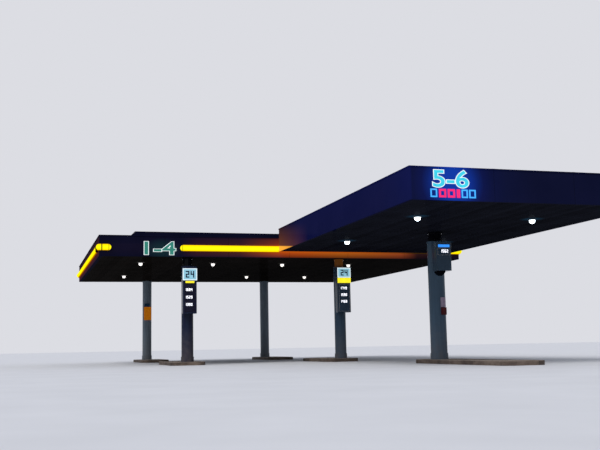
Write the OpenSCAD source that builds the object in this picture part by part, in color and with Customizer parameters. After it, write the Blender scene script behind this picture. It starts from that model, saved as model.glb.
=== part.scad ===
// Filling station canopy: a low main deck on four round columns and a higher
// wing deck on one column, which stands in front of the main deck.
// X runs along the main deck's front, Y away from the wing, Z up.
// The origin is at ground level, in the middle of the whole canopy.

/* [Main deck] */
// Length of the main deck, left end to right end
main_l = 17200; // [16000:50:19000]
// Depth of the main deck, front to rear
main_d = 15500; // [14500:50:17500]
// Height of the main deck's underside above the ground
main_under = 4800; // [4500:10:5200]
// Height of the main deck's fascia
main_fascia_h = 930; // [850:10:1100]

/* [Wing deck] */
// Width of the wing deck, left to right
wing_w = 8560; // [8000:20:9400]
// Depth of the wing deck, front to rear
wing_d = 14960; // [13500:20:16500]
// Distance from the main deck's left end to the wing deck's left side
wing_from_left = 8050; // [7800:10:8300]
// Height of the wing deck's underside above the ground
wing_under = 5070; // [4900:10:5400]
// Height of the wing deck's fascia
wing_fascia_h = 1040; // [950:10:1200]
// Open joint between the wing deck and the main deck's front fascia
deck_joint = 220; // [190:5:300]

/* [Columns] */
// Diameter of the main deck's columns
main_col_d = 530; // [400:10:600]
// Diameter of the wing deck's column
wing_col_d = 640; // [500:10:700]
// Left column line, from the main deck's left end
col_left = 3950; // [3600:10:4300]
// Right column line, from the main deck's left end
col_right = 11200; // [10900:10:11500]
// Front columns, from the front face to their centres
col_front_in = 600; // [500:10:800]
// Rear columns, from the rear face to their centres
col_rear_in = 600; // [500:10:800]
// Height of the skirt round a column's foot
skirt_h = 240; // [150:5:350]
// Wall of the skirts and collars round the columns
sleeve_t = 22; // [12:1:40]
// Height of the collar under the soffit
collar_h = 70; // [40:5:120]

/* [Frame] */
// Height of the main deck's beams
main_beam_h = 380; // [300:10:420]
// Height of the wing deck's beam
wing_beam_h = 480; // [400:10:520]
// Width of the beams' flanges
flange_w = 240; // [180:10:280]
// Thickness of the beams' flanges
flange_t = 24; // [16:1:30]
// Thickness of the beams' webs
web_t = 16; // [10:1:24]
// Height of the purlins
purlin_h = 160; // [120:5:180]
// Width of a purlin's lips
purlin_w = 80; // [60:5:100]
// Thickness of the purlins
purlin_t = 12; // [8:1:16]
// Widest spacing of the purlins
purlin_pitch = 2600; // [1800:50:2900]

/* [Roof and soffit] */
// Spacing of the ribs in the roof sheets
rib_pitch = 333; // [250:1:500]
// Height of the ribs
rib_h = 45; // [30:1:60]
// Width of a rib at its foot
rib_foot = 120; // [90:1:150]
// Width of a rib at its top
rib_top = 60; // [40:1:80]
// Thickness of the roof sheets
sheet_t = 8; // [4:1:12]
// Thickness of the soffit lining
soffit_t = 30; // [20:1:45]
// Gap round a column in the soffit
soffit_gap = 6; // [3:1:12]

/* [Fascias] */
// Thickness of the fascia panels
panel_t = 50; // [35:1:80]
// Width of the return under the fascia
return_w = 150; // [110:5:200]
// Thickness of the coping on the fascia
coping_t = 28; // [18:1:40]
// Overhang of the coping
coping_out = 20; // [12:1:30]
// Depth of the coping's drip edge
drip_h = 45; // [30:1:70]
// Thickness of the coping's drip edge
drip_t = 8; // [5:1:10]
// Start of the raised edge strip, from the main deck's left end
strip_from = 1370; // [1000:10:2000]
// Height of the raised edge strip
strip_h = 160; // [80:5:200]
// Thickness of the raised edge strip
strip_t = 40; // [25:1:46]
// Thickness of the cap on the raised edge strip
strip_cap_t = 10; // [6:1:20]

/* [Light band] */
// Height of the light band
band_h = 280; // [240:5:340]
// Height of the band's underside above the main deck's underside
band_up = 245; // [200:5:300]
// How far the band stands out from the fascia
band_out = 90; // [80:5:150]
// Radius on the band's outer edges
band_r = 60; // [20:1:75]
// How far the front and rear runs reach past the main deck's corners
band_past = 140; // [100:5:160]
// Open joint between the side runs and the front and rear runs
band_gap = 40; // [20:5:80]
// End of the short front run, from the main deck's left end
band_short = 510; // [400:10:900]
// Start of the long front run, from the main deck's left end
band_long_from = 3540; // [3000:10:4200]

/* [Lamps] */
// Diameter of a lamp's housing
lamp_d = 280; // [250:10:400]
// Depth of a lamp's housing below the soffit
lamp_h = 40; // [30:1:60]
// Diameter of a lamp's glass bowl
glass_d = 210; // [160:10:240]
// Depth of a lamp's glass bowl below its housing
glass_h = 125; // [122:1:160]
// First lamp line, from the main deck's left end
main_lamp_from_left = 2120; // [1900:20:2400]
// Spacing of the main deck's lamp lines
main_lamp_pitch_x = 3450; // [3300:10:3550]
// Front lamp row of the main deck, from its front face
main_lamp_from_front = 2800; // [2500:50:3200]
// Spacing of the main deck's lamp rows
main_lamp_pitch_y = 7600; // [7000:50:8000]
// First lamp line of the wing deck, from its left side
wing_lamp_from_left = 1730; // [1500:10:1900]
// Spacing of the wing deck's lamp lines
wing_lamp_pitch_x = 4430; // [4200:10:4600]
// Front lamp row of the wing deck, from its front face
wing_lamp_from_front = 3380; // [3000:20:3800]
// Spacing of the wing deck's lamp rows
wing_lamp_pitch_y = 7180; // [6800:20:7600]

/* [Price boards] */
// Width of a board's case
board_w = 620; // [560:10:740]
// Depth of a board's case
board_d = 420; // [350:10:500]
// Height of a price board
board_h = 2080; // [1900:10:2200]
// Height of a price board's underside above the ground
board_up = 2270; // [2100:10:2400]
// Radius on a board's upright edges
board_r = 35; // [20:1:60]
// Height of the lit header on the left price board
header_left_h = 550; // [450:10:700]
// Height of the lit header on the right price board
header_right_h = 720; // [600:10:800]
// How far a header stands out round its case
header_out = 16; // [8:1:20]
// Depth of the window in a board's front
window_in = 14; // [6:1:25]
// Rim left round the window
window_rim = 55; // [40:1:90]
// Height of the board on the wing deck's column
wing_board_h = 1110; // [900:10:1300]
// Height of the underside of the wing column's board above the ground
wing_board_up = 3510; // [3300:10:3700]
// Height of the lit header on the wing column's board
wing_header_h = 190; // [150:5:250]
// Height of the window in the wing column's board
wing_window_h = 260; // [200:5:320]
// Width of the saddles between a board and its column
saddle_w = 240; // [180:10:300]
// Height of the saddles
saddle_h = 120; // [80:5:160]
// Distance of the saddles from a board's top and underside
saddle_in = 180; // [120:10:250]

/* [Islands] */
// Width of an island
island_w = 1550; // [1300:10:1700]
// Length of a main deck island
island_l = 4400; // [3600:50:5200]
// Length of the wing deck's island
wing_island_l = 7300; // [6000:50:8000]
// Height of the islands
island_h = 150; // [120:5:180]
// Radius on an island's corners
island_r = 380; // [200:10:500]
// Width of the kerb stones round an island
kerb_w = 150; // [120:5:200]
// Step from the kerb down to the paving inside it
kerb_step = 12; // [6:1:20]

/* [Hidden] */
$fn = 48;

// Places along X
main_x0 = -main_l / 2;
main_x1 = main_l / 2;
wing_x0 = main_x0 + wing_from_left;
wing_x1 = wing_x0 + wing_w;
wing_xc = (wing_x0 + wing_x1) / 2;
col_x_left = main_x0 + col_left;
col_x_right = main_x0 + col_right;

// Places along Y: the whole canopy, with its band and coping, is centred on the origin
main_y0 = (deck_joint + wing_d + coping_out - main_d - band_out) / 2;
main_y1 = main_y0 + main_d;
wing_y1 = main_y0 - deck_joint;
wing_y0 = wing_y1 - wing_d;
wing_yc = (wing_y0 + wing_y1) / 2;
col_y_front = main_y0 + col_front_in;
col_y_rear = main_y1 - col_rear_in;

// Heights of the main deck's layers
main_top = main_under + main_fascia_h;
main_beam_z = main_under + soffit_t;
main_purlin_z = main_beam_z + main_beam_h;
main_sheet_z = main_purlin_z + purlin_h;
// Heights of the wing deck's layers
wing_top = wing_under + wing_fascia_h;
wing_beam_z = wing_under + soffit_t;
wing_purlin_z = wing_beam_z + wing_beam_h;
wing_sheet_z = wing_purlin_z + purlin_h;

// Islands: each main deck island starts just behind a deck edge and runs inwards
island_in = 100;
island_y_front = main_y0 + island_in + island_l / 2;
island_y_rear = main_y1 - island_in - island_l / 2;
// The wing's island ends a little behind its column
wing_island_back = 790;
wing_island_y = wing_yc + wing_island_back - wing_island_l / 2;

// Lamps: four lines by two rows under the main deck, two by two under the wing deck
main_lamp_xs = [for (i = [0 : 3]) main_x0 + main_lamp_from_left + i * main_lamp_pitch_x];
main_lamp_ys = [for (i = [0 : 1]) main_y0 + main_lamp_from_front + i * main_lamp_pitch_y];
wing_lamp_xs = [for (i = [0 : 1]) wing_x0 + wing_lamp_from_left + i * wing_lamp_pitch_x];
wing_lamp_ys = [for (i = [0 : 1]) wing_y0 + wing_lamp_from_front + i * wing_lamp_pitch_y];
// How much wider a lamp's housing is than its glass, where the two meet
lamp_lip = 30;

// The wing deck's cross beams: one over the column, the others this far in from front and rear
wing_cross_in = 2880;
wing_cross_ys = [wing_y0 + wing_cross_in, wing_yc, wing_y1 - wing_cross_in];

// Thickness of the flashing over the joint
flash_t = 6;

// Notice plate on the rear left column
notice_w = 440;
notice_h = 980;
notice_up = 2470;
notice_t = 30;

// Notice and stop box on the wing deck's column, both turned to the right of its front
wing_notice_turn = 18;
wing_notice_w = 220;
wing_notice_h = 370;
wing_notice_up = 2140;
wing_notice_t = 30;
stop_box_w = 200;
stop_box_h = 280;
stop_box_up = 1840;
stop_box_t = 80;

// A rectangle with a quarter circle on each corner, centred
module rounded_rect(w, l, r) {
    square([w - 2 * r, l], center = true);
    square([w, l - 2 * r], center = true);
    for (sx = [-1, 1], sy = [-1, 1])
        translate([sx * (w / 2 - r), sy * (l / 2 - r)]) circle(r);
}

// Concrete island: a kerb round a paved top that lies a little lower
module island(x, y, l) {
    color("gray")
        translate([x, y, 0])
            difference() {
                linear_extrude(island_h) rounded_rect(island_w, l, island_r);
                translate([0, 0, island_h - kerb_step])
                    linear_extrude(2 * kerb_step)
                        rounded_rect(island_w - 2 * kerb_w, l - 2 * kerb_w, island_r - kerb_w);
            }
}

// Round column: a shaft from the island to the beam, a skirt and a collar
module column(x, y, d, under, head) {
    foot = island_h - kerb_step;
    color("slategray")
        translate([x, y, 0]) {
            translate([0, 0, foot]) cylinder(h = head - foot, d = d);
            translate([0, 0, foot]) cylinder(h = skirt_h, d = d + 2 * sleeve_t);
            translate([0, 0, under - collar_h]) cylinder(h = collar_h, d = d + 2 * sleeve_t);
        }
}

// Rolled beam section, standing on Z = 0
module beam_section(h, w) {
    polygon([
        [-w / 2, 0], [w / 2, 0], [w / 2, flange_t], [web_t / 2, flange_t],
        [web_t / 2, h - flange_t], [w / 2, h - flange_t], [w / 2, h], [-w / 2, h],
        [-w / 2, h - flange_t], [-web_t / 2, h - flange_t], [-web_t / 2, flange_t], [-w / 2, flange_t]
    ]);
}

// Beam along Y from y0 to y1
module beam_along_y(x, y0, y1, z, h) {
    color("dimgray")
        translate([x, y1, z]) rotate([90, 0, 0]) linear_extrude(y1 - y0) beam_section(h, flange_w);
}

// Beam along X from x0 to x1
module beam_along_x(x0, x1, y, z, h) {
    color("dimgray")
        translate([x0, y, z]) rotate([90, 0, 90]) linear_extrude(x1 - x0) beam_section(h, flange_w);
}

// Cross beams between the edge and the beams along Y, which stand on the lines xs
module cross_beams(x0, x1, xs, ys, z, h) {
    starts = concat([x0], [for (x = xs) x + flange_w / 2]);
    ends = concat([for (x = xs) x - flange_w / 2], [x1]);
    for (i = [0 : len(starts) - 1], y = ys) beam_along_x(starts[i], ends[i], y, z, h);
}

// Cold-formed channel section of a purlin, standing on Z = 0
module purlin_section() {
    difference() {
        square([purlin_w, purlin_h]);
        translate([purlin_t, purlin_t]) square([purlin_w, purlin_h - 2 * purlin_t]);
    }
}

// Purlins along X, evenly spaced from the front edge to the rear edge
module purlins(x0, x1, y0, y1, z) {
    bays = ceil((y1 - y0 - purlin_w) / purlin_pitch);
    step = (y1 - y0 - purlin_w) / bays;
    color("dimgray")
        for (i = [0 : bays])
            translate([x0, y0 + i * step, z])
                rotate([90, 0, 90]) linear_extrude(x1 - x0) purlin_section();
}

// Ribbed roof sheet, its ribs along Y, its flat part on Z = z
module roof_sheet(x0, x1, y0, y1, z) {
    w = x1 - x0;
    count = floor((w - rib_foot) / rib_pitch);
    first = (w - (count - 1) * rib_pitch) / 2;
    slope = (rib_foot - rib_top) / 2;
    // One rib's upper line, from foot to foot
    function rib(c, lift) = [
        [c - rib_foot / 2, lift], [c - rib_foot / 2 + slope, rib_h + lift],
        [c + rib_foot / 2 - slope, rib_h + lift], [c + rib_foot / 2, lift]
    ];
    line = [for (i = [0 : count - 1]) each rib(first + i * rib_pitch, 0)];
    top = concat([[0, sheet_t]], [for (p = line) [p[0], p[1] + sheet_t]], [[w, sheet_t]]);
    low = concat([[0, 0]], line, [[w, 0]]);
    low_back = [for (i = [len(low) - 1 : -1 : 0]) low[i]];
    color("lightslategray")
        translate([x0, y1, z])
            rotate([90, 0, 0]) linear_extrude(y1 - y0) polygon(concat(top, low_back));
}

// Soffit lining between the fascia returns, with a hole for each column
module soffit(x0, x1, y0, y1, z, cols, d) {
    color("darkslategray")
        translate([0, 0, z])
            difference() {
                translate([x0, y0, 0]) cube([x1 - x0, y1 - y0, soffit_t]);
                for (c = cols)
                    translate([c[0], c[1], -1]) cylinder(h = soffit_t + 2, d = d + 2 * soffit_gap);
            }
}

// Fascia section: outer face on X = 0, inside towards +X, underside on Y = 0
module fascia_section(h) {
    union() {
        square([panel_t, h - coping_t]);
        square([return_w, soffit_t]);
        translate([-coping_out, h - coping_t]) square([panel_t + 2 * coping_out, coping_t]);
        for (x = [-coping_out, panel_t + coping_out - drip_t])
            translate([x, h - drip_h]) square([drip_t, drip_h]);
    }
}

// Fascia along +X from the origin, its face towards -Y, mitred at both ends
module fascia(l, h) {
    color("midnightblue")
        intersection() {
            translate([-coping_out, 0, 0])
                rotate([90, 0, 90]) linear_extrude(l + 2 * coping_out) fascia_section(h);
            linear_extrude(h)
                polygon([
                    [-coping_out, -coping_out], [l + coping_out, -coping_out],
                    [l - return_w, return_w], [return_w, return_w]
                ]);
        }
}

// Light band section: back on X = 0, out towards -X, rounded outer edges
module band_section() {
    translate([-band_out + band_r, 0]) square([band_out - band_r, band_h]);
    translate([-band_out, band_r]) square([band_out, band_h - 2 * band_r]);
    for (z = [band_r, band_h - band_r]) translate([-band_out + band_r, z]) circle(band_r);
}

// Outline of a run seen from its front: a half circle at each end that is round
module band_outline(x0, x1, round_start, round_end) {
    r = band_h / 2;
    from = round_start ? x0 + r : x0;
    to = round_end ? x1 - r : x1;
    translate([from, 0]) square([to - from, band_h]);
    if (round_start) translate([from, r]) circle(r);
    if (round_end) translate([to, r]) circle(r);
}

// Run of the light band along +X from x0 to x1, its back on Y = 0, facing -Y
module band(x0, x1, round_start, round_end) {
    color("gold")
        translate([0, 0, main_under + band_up])
            intersection() {
                translate([x0, 0, 0]) rotate([90, 0, 90]) linear_extrude(x1 - x0) band_section();
                rotate([90, 0, 0]) linear_extrude(band_out) band_outline(x0, x1, round_start, round_end);
            }
}

// Surface lamp under a soffit: a dish-shaped housing with a domed glass bowl
module lamp(x, y, z) {
    r = glass_d / 2;
    lip = r + lamp_lip / 2;
    translate([x, y, z - lamp_h])
        rotate_extrude() {
            polygon([[0, 0], [lip, 0], [lamp_d / 2, lamp_h], [0, lamp_h]]);
            translate([0, r - glass_h]) square([r, glass_h - r]);
            translate([0, r - glass_h]) intersection() {
                circle(r);
                translate([0, -r]) square(r);
            }
        }
}

module lamps(xs, ys, z) {
    color("white")
        for (x = xs, y = ys) lamp(x, y, z);
}

// Board in front of a column: a case with a window, a header, and two saddles on the column
module board(x, y, d, z, h, header_h, window_h) {
    back = y - d / 2 - sleeve_t;
    color("silver") {
        difference() {
            union() {
                translate([x, back - board_d / 2, z])
                    linear_extrude(h) rounded_rect(board_w, board_d, board_r);
                translate([x, back - (board_d + header_out) / 2, z + h - header_h])
                    linear_extrude(header_h)
                        rounded_rect(board_w + 2 * header_out, board_d + header_out, board_r);
            }
            translate([x, back - board_d, z + h - header_h - window_rim - window_h / 2])
                cube([board_w - 2 * window_rim, 2 * window_in, window_h], center = true);
        }
        for (foot = [saddle_in, h - saddle_in - saddle_h])
            difference() {
                translate([x - saddle_w / 2, back, z + foot]) cube([saddle_w, sleeve_t + d / 2, saddle_h]);
                translate([x, y, z]) cylinder(h = h, d = d);
            }
    }
}

module island_front_left() { island(col_x_left, island_y_front, island_l); }
module island_front_right() { island(col_x_right, island_y_front, island_l); }
module island_rear_left() { island(col_x_left, island_y_rear, island_l); }
module island_rear_right() { island(col_x_right, island_y_rear, island_l); }
module island_wing() { island(wing_xc, wing_island_y, wing_island_l); }

module column_front_left() { column(col_x_left, col_y_front, main_col_d, main_under, main_beam_z); }
module column_front_right() { column(col_x_right, col_y_front, main_col_d, main_under, main_beam_z); }
module column_rear_left() { column(col_x_left, col_y_rear, main_col_d, main_under, main_beam_z); }
module column_rear_right() { column(col_x_right, col_y_rear, main_col_d, main_under, main_beam_z); }
module column_wing() { column(wing_xc, wing_yc, wing_col_d, wing_under, wing_beam_z); }

module main_beam_left() {
    beam_along_y(col_x_left, main_y0 + panel_t, main_y1 - panel_t, main_beam_z, main_beam_h);
}
module main_beam_right() {
    beam_along_y(col_x_right, main_y0 + panel_t, main_y1 - panel_t, main_beam_z, main_beam_h);
}
module main_cross_beams() {
    cross_beams(main_x0 + panel_t, main_x1 - panel_t, [col_x_left, col_x_right], [col_y_front, col_y_rear],
        main_beam_z, main_beam_h);
}
module main_purlins() {
    purlins(main_x0 + panel_t, main_x1 - panel_t, main_y0 + panel_t, main_y1 - panel_t, main_purlin_z);
}
module main_roof_sheet() {
    roof_sheet(main_x0 + panel_t, main_x1 - panel_t, main_y0 + panel_t, main_y1 - panel_t, main_sheet_z);
}
module main_soffit() {
    soffit(main_x0 + return_w, main_x1 - return_w, main_y0 + return_w, main_y1 - return_w, main_under,
        [for (x = [col_x_left, col_x_right], y = [col_y_front, col_y_rear]) [x, y]], main_col_d);
}
module main_fascia_front() {
    translate([main_x0, main_y0, main_under]) fascia(main_l, main_fascia_h);
}
module main_fascia_rear() {
    translate([main_x1, main_y1, main_under]) rotate(180) fascia(main_l, main_fascia_h);
}
module main_fascia_left() {
    translate([main_x0, main_y1, main_under]) rotate(-90) fascia(main_d, main_fascia_h);
}
module main_fascia_right() {
    translate([main_x1, main_y0, main_under]) rotate(90) fascia(main_d, main_fascia_h);
}
// Raised stretch of the front fascia: it rises at 45 degrees and carries a thin cap
module main_edge_strip() {
    l = wing_from_left - strip_from;
    color("midnightblue")
        translate([main_x0 + strip_from, main_y0 + strip_t, main_top]) {
            rotate([90, 0, 0]) linear_extrude(strip_t)
                polygon([[0, 0], [l, 0], [l, strip_h], [strip_h, strip_h]]);
            translate([strip_h, -strip_t - strip_cap_t, strip_h])
                cube([l - strip_h, strip_t + 2 * strip_cap_t, strip_cap_t]);
        }
}

// The front and rear runs pass the corners, and the side runs end between them
module band_front_short() { translate([main_x0, main_y0, 0]) band(-band_past, band_short, true, true); }
module band_front_long() {
    translate([main_x0, main_y0, 0]) band(band_long_from, main_l + band_past, true, true);
}
module band_left() {
    translate([main_x0, main_y1, 0]) rotate(-90) band(band_gap, main_d - band_gap, false, false);
}
module band_right() {
    translate([main_x1, main_y0, 0]) rotate(90) band(band_gap, main_d - band_gap, false, false);
}
module band_rear() {
    translate([main_x1, main_y1, 0]) rotate(180) band(-band_past, main_l + band_past, true, true);
}
module main_lamps() { lamps(main_lamp_xs, main_lamp_ys, main_under); }

module wing_beam() { beam_along_y(wing_xc, wing_y0 + panel_t, wing_y1 - panel_t, wing_beam_z, wing_beam_h); }
module wing_cross_beams() {
    cross_beams(wing_x0 + panel_t, wing_x1 - panel_t, [wing_xc], wing_cross_ys, wing_beam_z, wing_beam_h);
}
// The wing's purlins cross its cross beams, so they and the ribs on them are turned by 90 degrees
module wing_purlins() {
    rotate(90)
        purlins(wing_y0 + panel_t, wing_y1 - panel_t, panel_t - wing_x1, -panel_t - wing_x0, wing_purlin_z);
}
module wing_roof_sheet() {
    rotate(90)
        roof_sheet(wing_y0 + panel_t, wing_y1 - panel_t, panel_t - wing_x1, -panel_t - wing_x0, wing_sheet_z);
}
module wing_soffit() {
    soffit(wing_x0 + return_w, wing_x1 - return_w, wing_y0 + return_w, wing_y1 - return_w, wing_under,
        [[wing_xc, wing_yc]], wing_col_d);
}
module wing_fascia_front() {
    translate([wing_x0, wing_y0, wing_under]) fascia(wing_w, wing_fascia_h);
}
module wing_fascia_rear() {
    translate([wing_x1, wing_y1, wing_under]) rotate(180) fascia(wing_w, wing_fascia_h);
}
module wing_fascia_left() {
    translate([wing_x0, wing_y1, wing_under]) rotate(-90) fascia(wing_d, wing_fascia_h);
}
module wing_fascia_right() {
    translate([wing_x1, wing_y0, wing_under]) rotate(90) fascia(wing_d, wing_fascia_h);
}
module wing_lamps() { lamps(wing_lamp_xs, wing_lamp_ys, wing_under); }

// Sheet that covers the joint: flat on the main deck's coping, turned up against the wing
module joint_flashing() {
    color("black")
        translate([wing_x0, wing_y1, main_top]) {
            cube([wing_w, deck_joint + panel_t, flash_t]);
            cube([wing_w, flash_t, wing_top - drip_h - main_top]);
        }
}

module price_board_left() {
    board(col_x_left, col_y_front, main_col_d, board_up, board_h,
        header_left_h, board_h - header_left_h - 2 * window_rim);
}
module price_board_right() {
    board(col_x_right, col_y_front, main_col_d, board_up, board_h,
        header_right_h, board_h - header_right_h - 2 * window_rim);
}
module wing_board() {
    board(wing_xc, wing_yc, wing_col_d, wing_board_up, wing_board_h, wing_header_h, wing_window_h);
}

// Plate or box against a column, turned from the column's front by an angle
module on_column(x, y, d, turn, w, t, z, h) {
    translate([x, y, z])
        rotate(turn)
            difference() {
                translate([-w / 2, -d / 2 - t, 0]) cube([w, d / 2 + t, h]);
                translate([0, 0, -1]) cylinder(h = h + 2, d = d);
            }
}
module column_notice() {
    color("orange") on_column(col_x_left, col_y_rear, main_col_d, 0, notice_w, notice_t, notice_up, notice_h);
}
module wing_notice() {
    color("white")
        on_column(wing_xc, wing_yc, wing_col_d, wing_notice_turn,
            wing_notice_w, wing_notice_t, wing_notice_up, wing_notice_h);
}
module wing_stop_box() {
    color("firebrick")
        on_column(wing_xc, wing_yc, wing_col_d, wing_notice_turn,
            stop_box_w, stop_box_t, stop_box_up, stop_box_h);
}

island_front_left();
island_front_right();
island_rear_left();
island_rear_right();
island_wing();
column_front_left();
column_front_right();
column_rear_left();
column_rear_right();
column_wing();
main_beam_left();
main_beam_right();
main_cross_beams();
main_purlins();
main_roof_sheet();
main_soffit();
main_fascia_front();
main_fascia_rear();
main_fascia_left();
main_fascia_right();
main_edge_strip();
band_front_short();
band_front_long();
band_left();
band_right();
band_rear();
main_lamps();
wing_beam();
wing_cross_beams();
wing_purlins();
wing_roof_sheet();
wing_soffit();
wing_fascia_front();
wing_fascia_rear();
wing_fascia_left();
wing_fascia_right();
wing_lamps();
joint_flashing();
price_board_left();
price_board_right();
wing_board();
column_notice();
wing_notice();
wing_stop_box();
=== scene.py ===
"""A filling station canopy: a low main deck on four columns and a higher wing deck on one."""
import math
import random

import bmesh
import bpy
from mathutils import Matrix, Vector


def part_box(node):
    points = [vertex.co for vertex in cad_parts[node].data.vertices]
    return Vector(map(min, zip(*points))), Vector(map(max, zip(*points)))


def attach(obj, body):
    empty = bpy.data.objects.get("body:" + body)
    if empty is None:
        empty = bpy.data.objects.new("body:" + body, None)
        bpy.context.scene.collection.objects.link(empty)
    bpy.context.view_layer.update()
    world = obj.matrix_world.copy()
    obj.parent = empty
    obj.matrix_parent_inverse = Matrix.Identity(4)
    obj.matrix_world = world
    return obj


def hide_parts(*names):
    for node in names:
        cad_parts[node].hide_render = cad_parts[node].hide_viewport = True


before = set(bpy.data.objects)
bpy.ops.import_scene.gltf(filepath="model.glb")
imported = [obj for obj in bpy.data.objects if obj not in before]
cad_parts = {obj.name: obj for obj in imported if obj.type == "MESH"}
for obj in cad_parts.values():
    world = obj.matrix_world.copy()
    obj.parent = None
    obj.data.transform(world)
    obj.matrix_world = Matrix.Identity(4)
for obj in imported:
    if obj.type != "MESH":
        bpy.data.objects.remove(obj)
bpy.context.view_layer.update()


# The view: the photographer stood left of the main deck and 40 m in front of it, with the
# camera low above the forecourt, tilted up a little and not quite level.
COPING_OUT = 0.02
EYE_LEFT = 2.975
EYE_BACK = 40.162
EYE_H = 0.729
SENSOR_MM = 36.0
LENS_MM = 54.6
TURN_RIGHT = math.radians(16.78)
TILT_UP = math.radians(7.61)
LEAN = math.radians(1.11)


def near_corner_of(deck):
    """The left lower corner of a deck's front panels, inside the coping."""
    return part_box(deck + "_fascia_front")[0] + Vector((COPING_OUT, COPING_OUT, 0))


near_corner = near_corner_of("main")
eye = Vector((near_corner.x - EYE_LEFT, near_corner.y - EYE_BACK, EYE_H))
camera = bpy.data.objects.new("camera", bpy.data.cameras.new("camera"))
camera.data.sensor_width = SENSOR_MM
camera.data.lens = LENS_MM
camera.data.clip_end = 2000.0
look = Matrix.Rotation(-TURN_RIGHT, 4, "Z") @ Matrix.Rotation(math.pi / 2 + TILT_UP, 4, "X")
camera.matrix_world = Matrix.Translation(eye) @ look @ Matrix.Rotation(-LEAN, 4, "Z")
bpy.context.scene.collection.objects.link(camera)
bpy.context.scene.camera = camera
bpy.context.scene.view_settings.view_transform = "Standard"


# The stage: a wide pale studio floor and a plain pale backdrop. The light is soft: an even
# sky from the world, and one broad lamp high on the photographer's left.
def linear_rgb(colour):
    """A hex colour as linear red, green, blue and an opaque alpha."""
    shares = [int(colour[i:i + 2], 16) / 255 for i in (1, 3, 5)]
    return tuple(s / 12.92 if s <= 0.04045 else ((s + 0.055) / 1.055) ** 2.4 for s in shares) + (1.0,)


def add(owner, kind, settings):
    """Adds a node to a material or world. A setting is a property, a socket's value or a link."""
    node = owner.node_tree.nodes.new(kind)
    for name, value in settings.items():
        if name == "stops":
            while len(node.color_ramp.elements) < len(value):
                node.color_ramp.elements.new(1.0)
            for element, (place, colour) in zip(node.color_ramp.elements, value):
                element.position = place
                element.color = linear_rgb(colour)
        elif isinstance(name, str) and hasattr(node, name):
            setattr(node, name, value)
        elif isinstance(value, tuple) and isinstance(value[0], bpy.types.Node):
            owner.node_tree.links.new(value[0].outputs[value[1]], node.inputs[name])
        else:
            node.inputs[name].default_value = value
    return node


def new_material(name):
    """An empty material with a node tree."""
    made = bpy.data.materials.new(name)
    made.use_nodes = True
    made.node_tree.nodes.clear()
    return made


def cloudy(name, scale, detail, stops, settings):
    """A material whose colour only drifts a little. The settings are its shader's."""
    made = new_material(name)
    where = add(made, "ShaderNodeTexCoord", {})
    cloud = add(made, "ShaderNodeTexNoise", {"Vector": (where, "Object"), "Scale": scale, "Detail": detail})
    body = add(made, "ShaderNodeValToRGB", {"Fac": (cloud, "Fac"), "stops": stops})
    shader = add(made, "ShaderNodeBsdfPrincipled", {"Base Color": (body, "Color"), **settings})
    add(made, "ShaderNodeOutputMaterial", {"Surface": (shader, "BSDF")})
    return made


FLOOR_SIZE = 900.0
FLOOR_DOWN = 0.002

world = bpy.data.worlds.new("studio")
world.use_nodes = True
world.node_tree.nodes.clear()
bpy.context.scene.world = world
path = add(world, "ShaderNodeLightPath", {})
seen = add(world, "ShaderNodeMath", {
    "operation": "MAXIMUM", 0: (path, "Is Camera Ray"), 1: (path, "Is Glossy Ray")})
seen_or_through = add(world, "ShaderNodeMath", {
    "operation": "MAXIMUM", 0: (seen, "Value"), 1: (path, "Is Transmission Ray")})
sky_light = add(world, "ShaderNodeBackground", {"Color": linear_rgb("#c9cfdc"), "Strength": 0.8})
backdrop = add(world, "ShaderNodeBackground", {"Color": linear_rgb("#dcdde3"), "Strength": 1.0})
sky = add(world, "ShaderNodeMixShader", {
    "Fac": (seen_or_through, "Value"), 1: (sky_light, "Background"), 2: (backdrop, "Background")})
add(world, "ShaderNodeOutputWorld", {"Surface": (sky, "Shader")})

floor_paint = cloudy("studio_floor", 0.6, 2.0, [(0.3, "#d0d0d3"), (0.7, "#d5d5d8")],
                     {"Roughness": 0.9, "Specular IOR Level": 0.1})
bpy.ops.mesh.primitive_plane_add(size=FLOOR_SIZE, location=(0, 0, -FLOOR_DOWN))
floor = bpy.context.object
floor.name = "studio_floor"
floor.data.materials.append(floor_paint)

key = bpy.data.objects.new("key_light", bpy.data.lights.new("key_light", "SUN"))
key.data.energy = 2.2
key.data.angle = math.radians(35)
key.rotation_euler = (math.radians(48), 0, math.radians(-42))
bpy.context.scene.collection.objects.link(key)


# The islands: kerb stones of precast concrete on a mortar bed, round a field of concrete
# blocks laid in sand. Tyres scuff the stones' faces, and rain and dust stain all of it.
KERB_W = 0.15
KERB_NOSE = 0.024
KERB_BEVEL = 0.007
KERB_BACK = 0.006
CORNER_R = 0.38
CORNER_STEPS = 10
STONE_L = 0.9
STONE_JOINT = 0.008
MORTAR_IN = 0.006
MORTAR_NOSE = 0.022
KERB_STEP = 0.012
BLOCK_L = 0.2
BLOCK_W = 0.1
BLOCK_JOINT = 0.005
BLOCK_DEPTH = 0.03
BLOCK_EDGE = 0.003
BLOCK_FACE = 0.94
BLOCK_UNEVEN = 0.0015
BED_FOOT = 0.002
BED_DOWN = 0.006
SET_IN = 0.0005
SHARP_FROM = math.radians(35)


def at(radius, angle, middle=(0, 0)):
    """The place at a radius and an angle round a middle."""
    return (middle[0] + radius * math.cos(angle), middle[1] + radius * math.sin(angle))


def around(sides):
    """The angles of a whole turn in equal steps."""
    return [math.tau * i / sides for i in range(sides)]


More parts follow.
